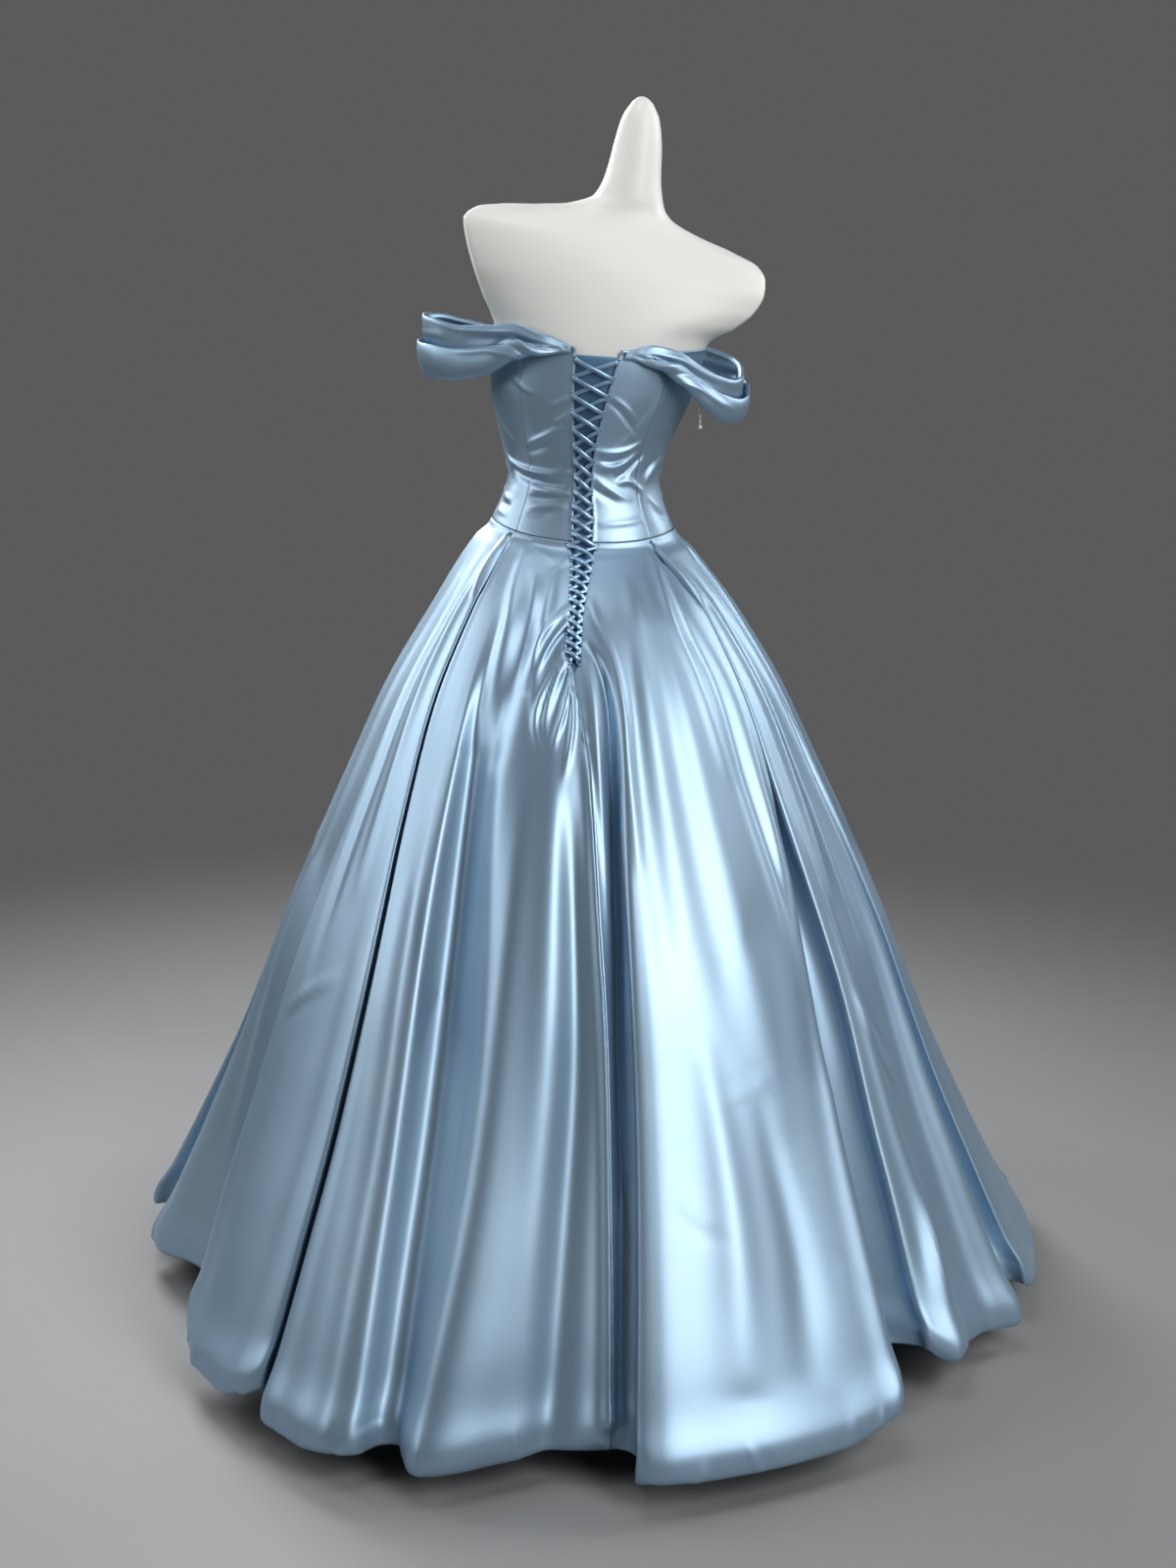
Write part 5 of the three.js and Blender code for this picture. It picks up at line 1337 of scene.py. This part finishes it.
def make_form():
    low, shoulder, neck = FORM_LEVELS
    body_rows, shoulder_rows, neck_rows = FORM_ROWS
    levels = np.concatenate([np.linspace(low, shoulder, body_rows),
                             np.linspace(shoulder, neck, shoulder_rows)[1:],
                             np.linspace(neck, FORM_DOME, neck_rows)[1:]])
    turns = np.arange(0, 360, FORM_TURN)
    body = on_form(turns[None, :], levels[:, None])
    dome = 1 - np.linspace(1, 0, DOME_ROWS)[1:-1] ** 2
    top = on_form(turns, FORM_DOME)
    middle = top.mean(axis=0)
    rise = np.array([0, 0, FORM_TOP - FORM_DOME])
    caps = [middle + (top - middle) * math.sqrt(1 - share) + rise * share for share in dome]
    vertices, faces = rings(np.concatenate([body, np.array(caps)]), downward=True)
    piece = new_object("dress_form_skin", vertices, faces, SHELL_WHITE)
    dress(piece, "dress_form", slot="form_shell")


def lathe(name, profile, sides, finish):
    """A solid of revolution about Z from (radius, height) pairs, closed with flat ends."""
    turn = np.linspace(0, 2 * math.pi, sides, endpoint=False)
    points = [[(r * math.cos(a), r * math.sin(a), h) for a in turn] for r, h in profile]
    return new_object(name, *rings(np.array(points)), finish)


# The stand: the base plate's half outline, and the pole
PLATE = [(183, 0), (188.5, 0), (190, 1.5), (190, 4), (188, 7), (185, 8), (60, 8.4), (24, 8.2)]
POLE_RADIUS = 16
POLE_FOOT = 8.5
POLE_TOP = 899


def make_stand():
    finish = steel()
    base = lathe("stand_base_plate", PLATE, 120, finish)
    dress(base, "stand_base", slot="stand_steel")
    post = lathe("stand_pole_tube", [(POLE_RADIUS, POLE_FOOT), (POLE_RADIUS, POLE_TOP)], 48, finish)
    dress(post, "stand_pole", slot="stand_steel")


# The room

FLOOR_REACH = 14.0
FLOOR_CLEAR = 0.00005
FLOOR_TONE = 0.38
FLOOR_FADE = (0.6, 3.0)
BACKDROP = (0.118, 0.118, 0.119)
CEILING = (0.018, 0.021, 0.026)
CEILING_FROM_TO = (0.2, 0.42)
# Soft lights: place, width and height, aim and power.
SOFTBOXES = [
    dict(name="key", place=(-2.2, 3.0, 2.7), size=(1.7, 3.2), aim=(0, 0.1, 0.7), power=78),
    dict(name="fill", place=(3.9, 1.5, 2.6), size=(2.0, 2.4), aim=(0, 0, 0.8), power=34),
    dict(name="top", place=(0.2, 0.6, 4.0), size=(1.2, 1.2), aim=(0, 0.2, 0.5), power=12),
    dict(name="side_left", place=(3.4, -1.0, 2.9), size=(1.4, 2.0), aim=(0, 0, 0.8), power=34),
    dict(name="side_right", place=(-3.4, -1.0, 2.9), size=(1.4, 2.0), aim=(0, 0, 0.8), power=34),
    dict(name="front_key", place=(1.8, -2.9, 3.3), size=(1.5, 2.2), aim=(0, -0.1, 0.8), power=80),
]


def make_room():
    floor = lathe("floor", [(FLOOR_REACH / MM, -3), (FLOOR_REACH / MM, 0)], 96, pale_floor())
    floor.location.z = -FLOOR_CLEAR
    world = bpy.data.worlds.new("studio")
    bpy.context.scene.world = world
    world.use_nodes = True
    tree = world.node_tree
    split = tree.nodes.new("ShaderNodeSeparateXYZ")
    tree.links.new(tree.nodes.new("ShaderNodeTexCoord").outputs["Generated"], split.inputs[0])
    shade = ramp(tree, split.outputs["Z"], BACKDROP, CEILING, *CEILING_FROM_TO)
    tree.links.new(shade, tree.nodes["Background"].inputs["Color"])
    for box in SOFTBOXES:
        softbox(**box)


def softbox(name, place, size, aim, power):
    light = bpy.data.lights.new(name, "AREA")
    light.shape = "RECTANGLE"
    light.size, light.size_y = size
    light.energy = power
    lamp = bpy.data.objects.new(name, light)
    lamp.location = place
    lamp.visible_camera = False
    lamp.rotation_euler = (Vector(place) - Vector(aim)).to_track_quat("Z", "Y").to_euler()
    bpy.context.scene.collection.objects.link(lamp)


def pale_floor():
    """A pale floor that fades into the backdrop away from the stand."""
    made, tree, surface = material("floor", (FLOOR_TONE,) * 3, 0.6)
    place = on_object(tree)
    tone = noise(tree, place, 1.5)
    low, high = (FLOOR_TONE * 0.97,) * 3, (FLOOR_TONE * 1.03,) * 3
    tree.links.new(ramp(tree, tone, low, high), surface.inputs["Base Color"])
    away = tree.nodes.new("ShaderNodeVectorMath")
    away.operation = "LENGTH"
    tree.links.new(place, away.inputs[0])
    fade = tree.nodes.new("ShaderNodeMapRange")
    fade.interpolation_type = "SMOOTHSTEP"
    set_inputs(fade, From_Min=FLOOR_FADE[0], From_Max=FLOOR_FADE[1])
    tree.links.new(away.outputs["Value"], fade.inputs["Value"])
    far = tree.nodes.new("ShaderNodeEmission")
    set_inputs(far, Color=(*BACKDROP, 1))
    blend = tree.nodes.new("ShaderNodeMixShader")
    tree.links.new(fade.outputs["Result"], blend.inputs[0])
    tree.links.new(surface.outputs[0], blend.inputs[1])
    tree.links.new(far.outputs[0], blend.inputs[2])
    tree.links.new(blend.outputs[0], tree.nodes["Material Output"].inputs["Surface"])
    return made


frame_camera()
make_room()
make_form()
make_stand()
make_bodice()
make_modesty_panel()
make_skirt()
make_sleeve("sleeve_left", SLEEVE_LEFT, -1)
make_sleeve("sleeve_right", SLEEVE_RIGHT, 1)
make_lace()
bead_drop()
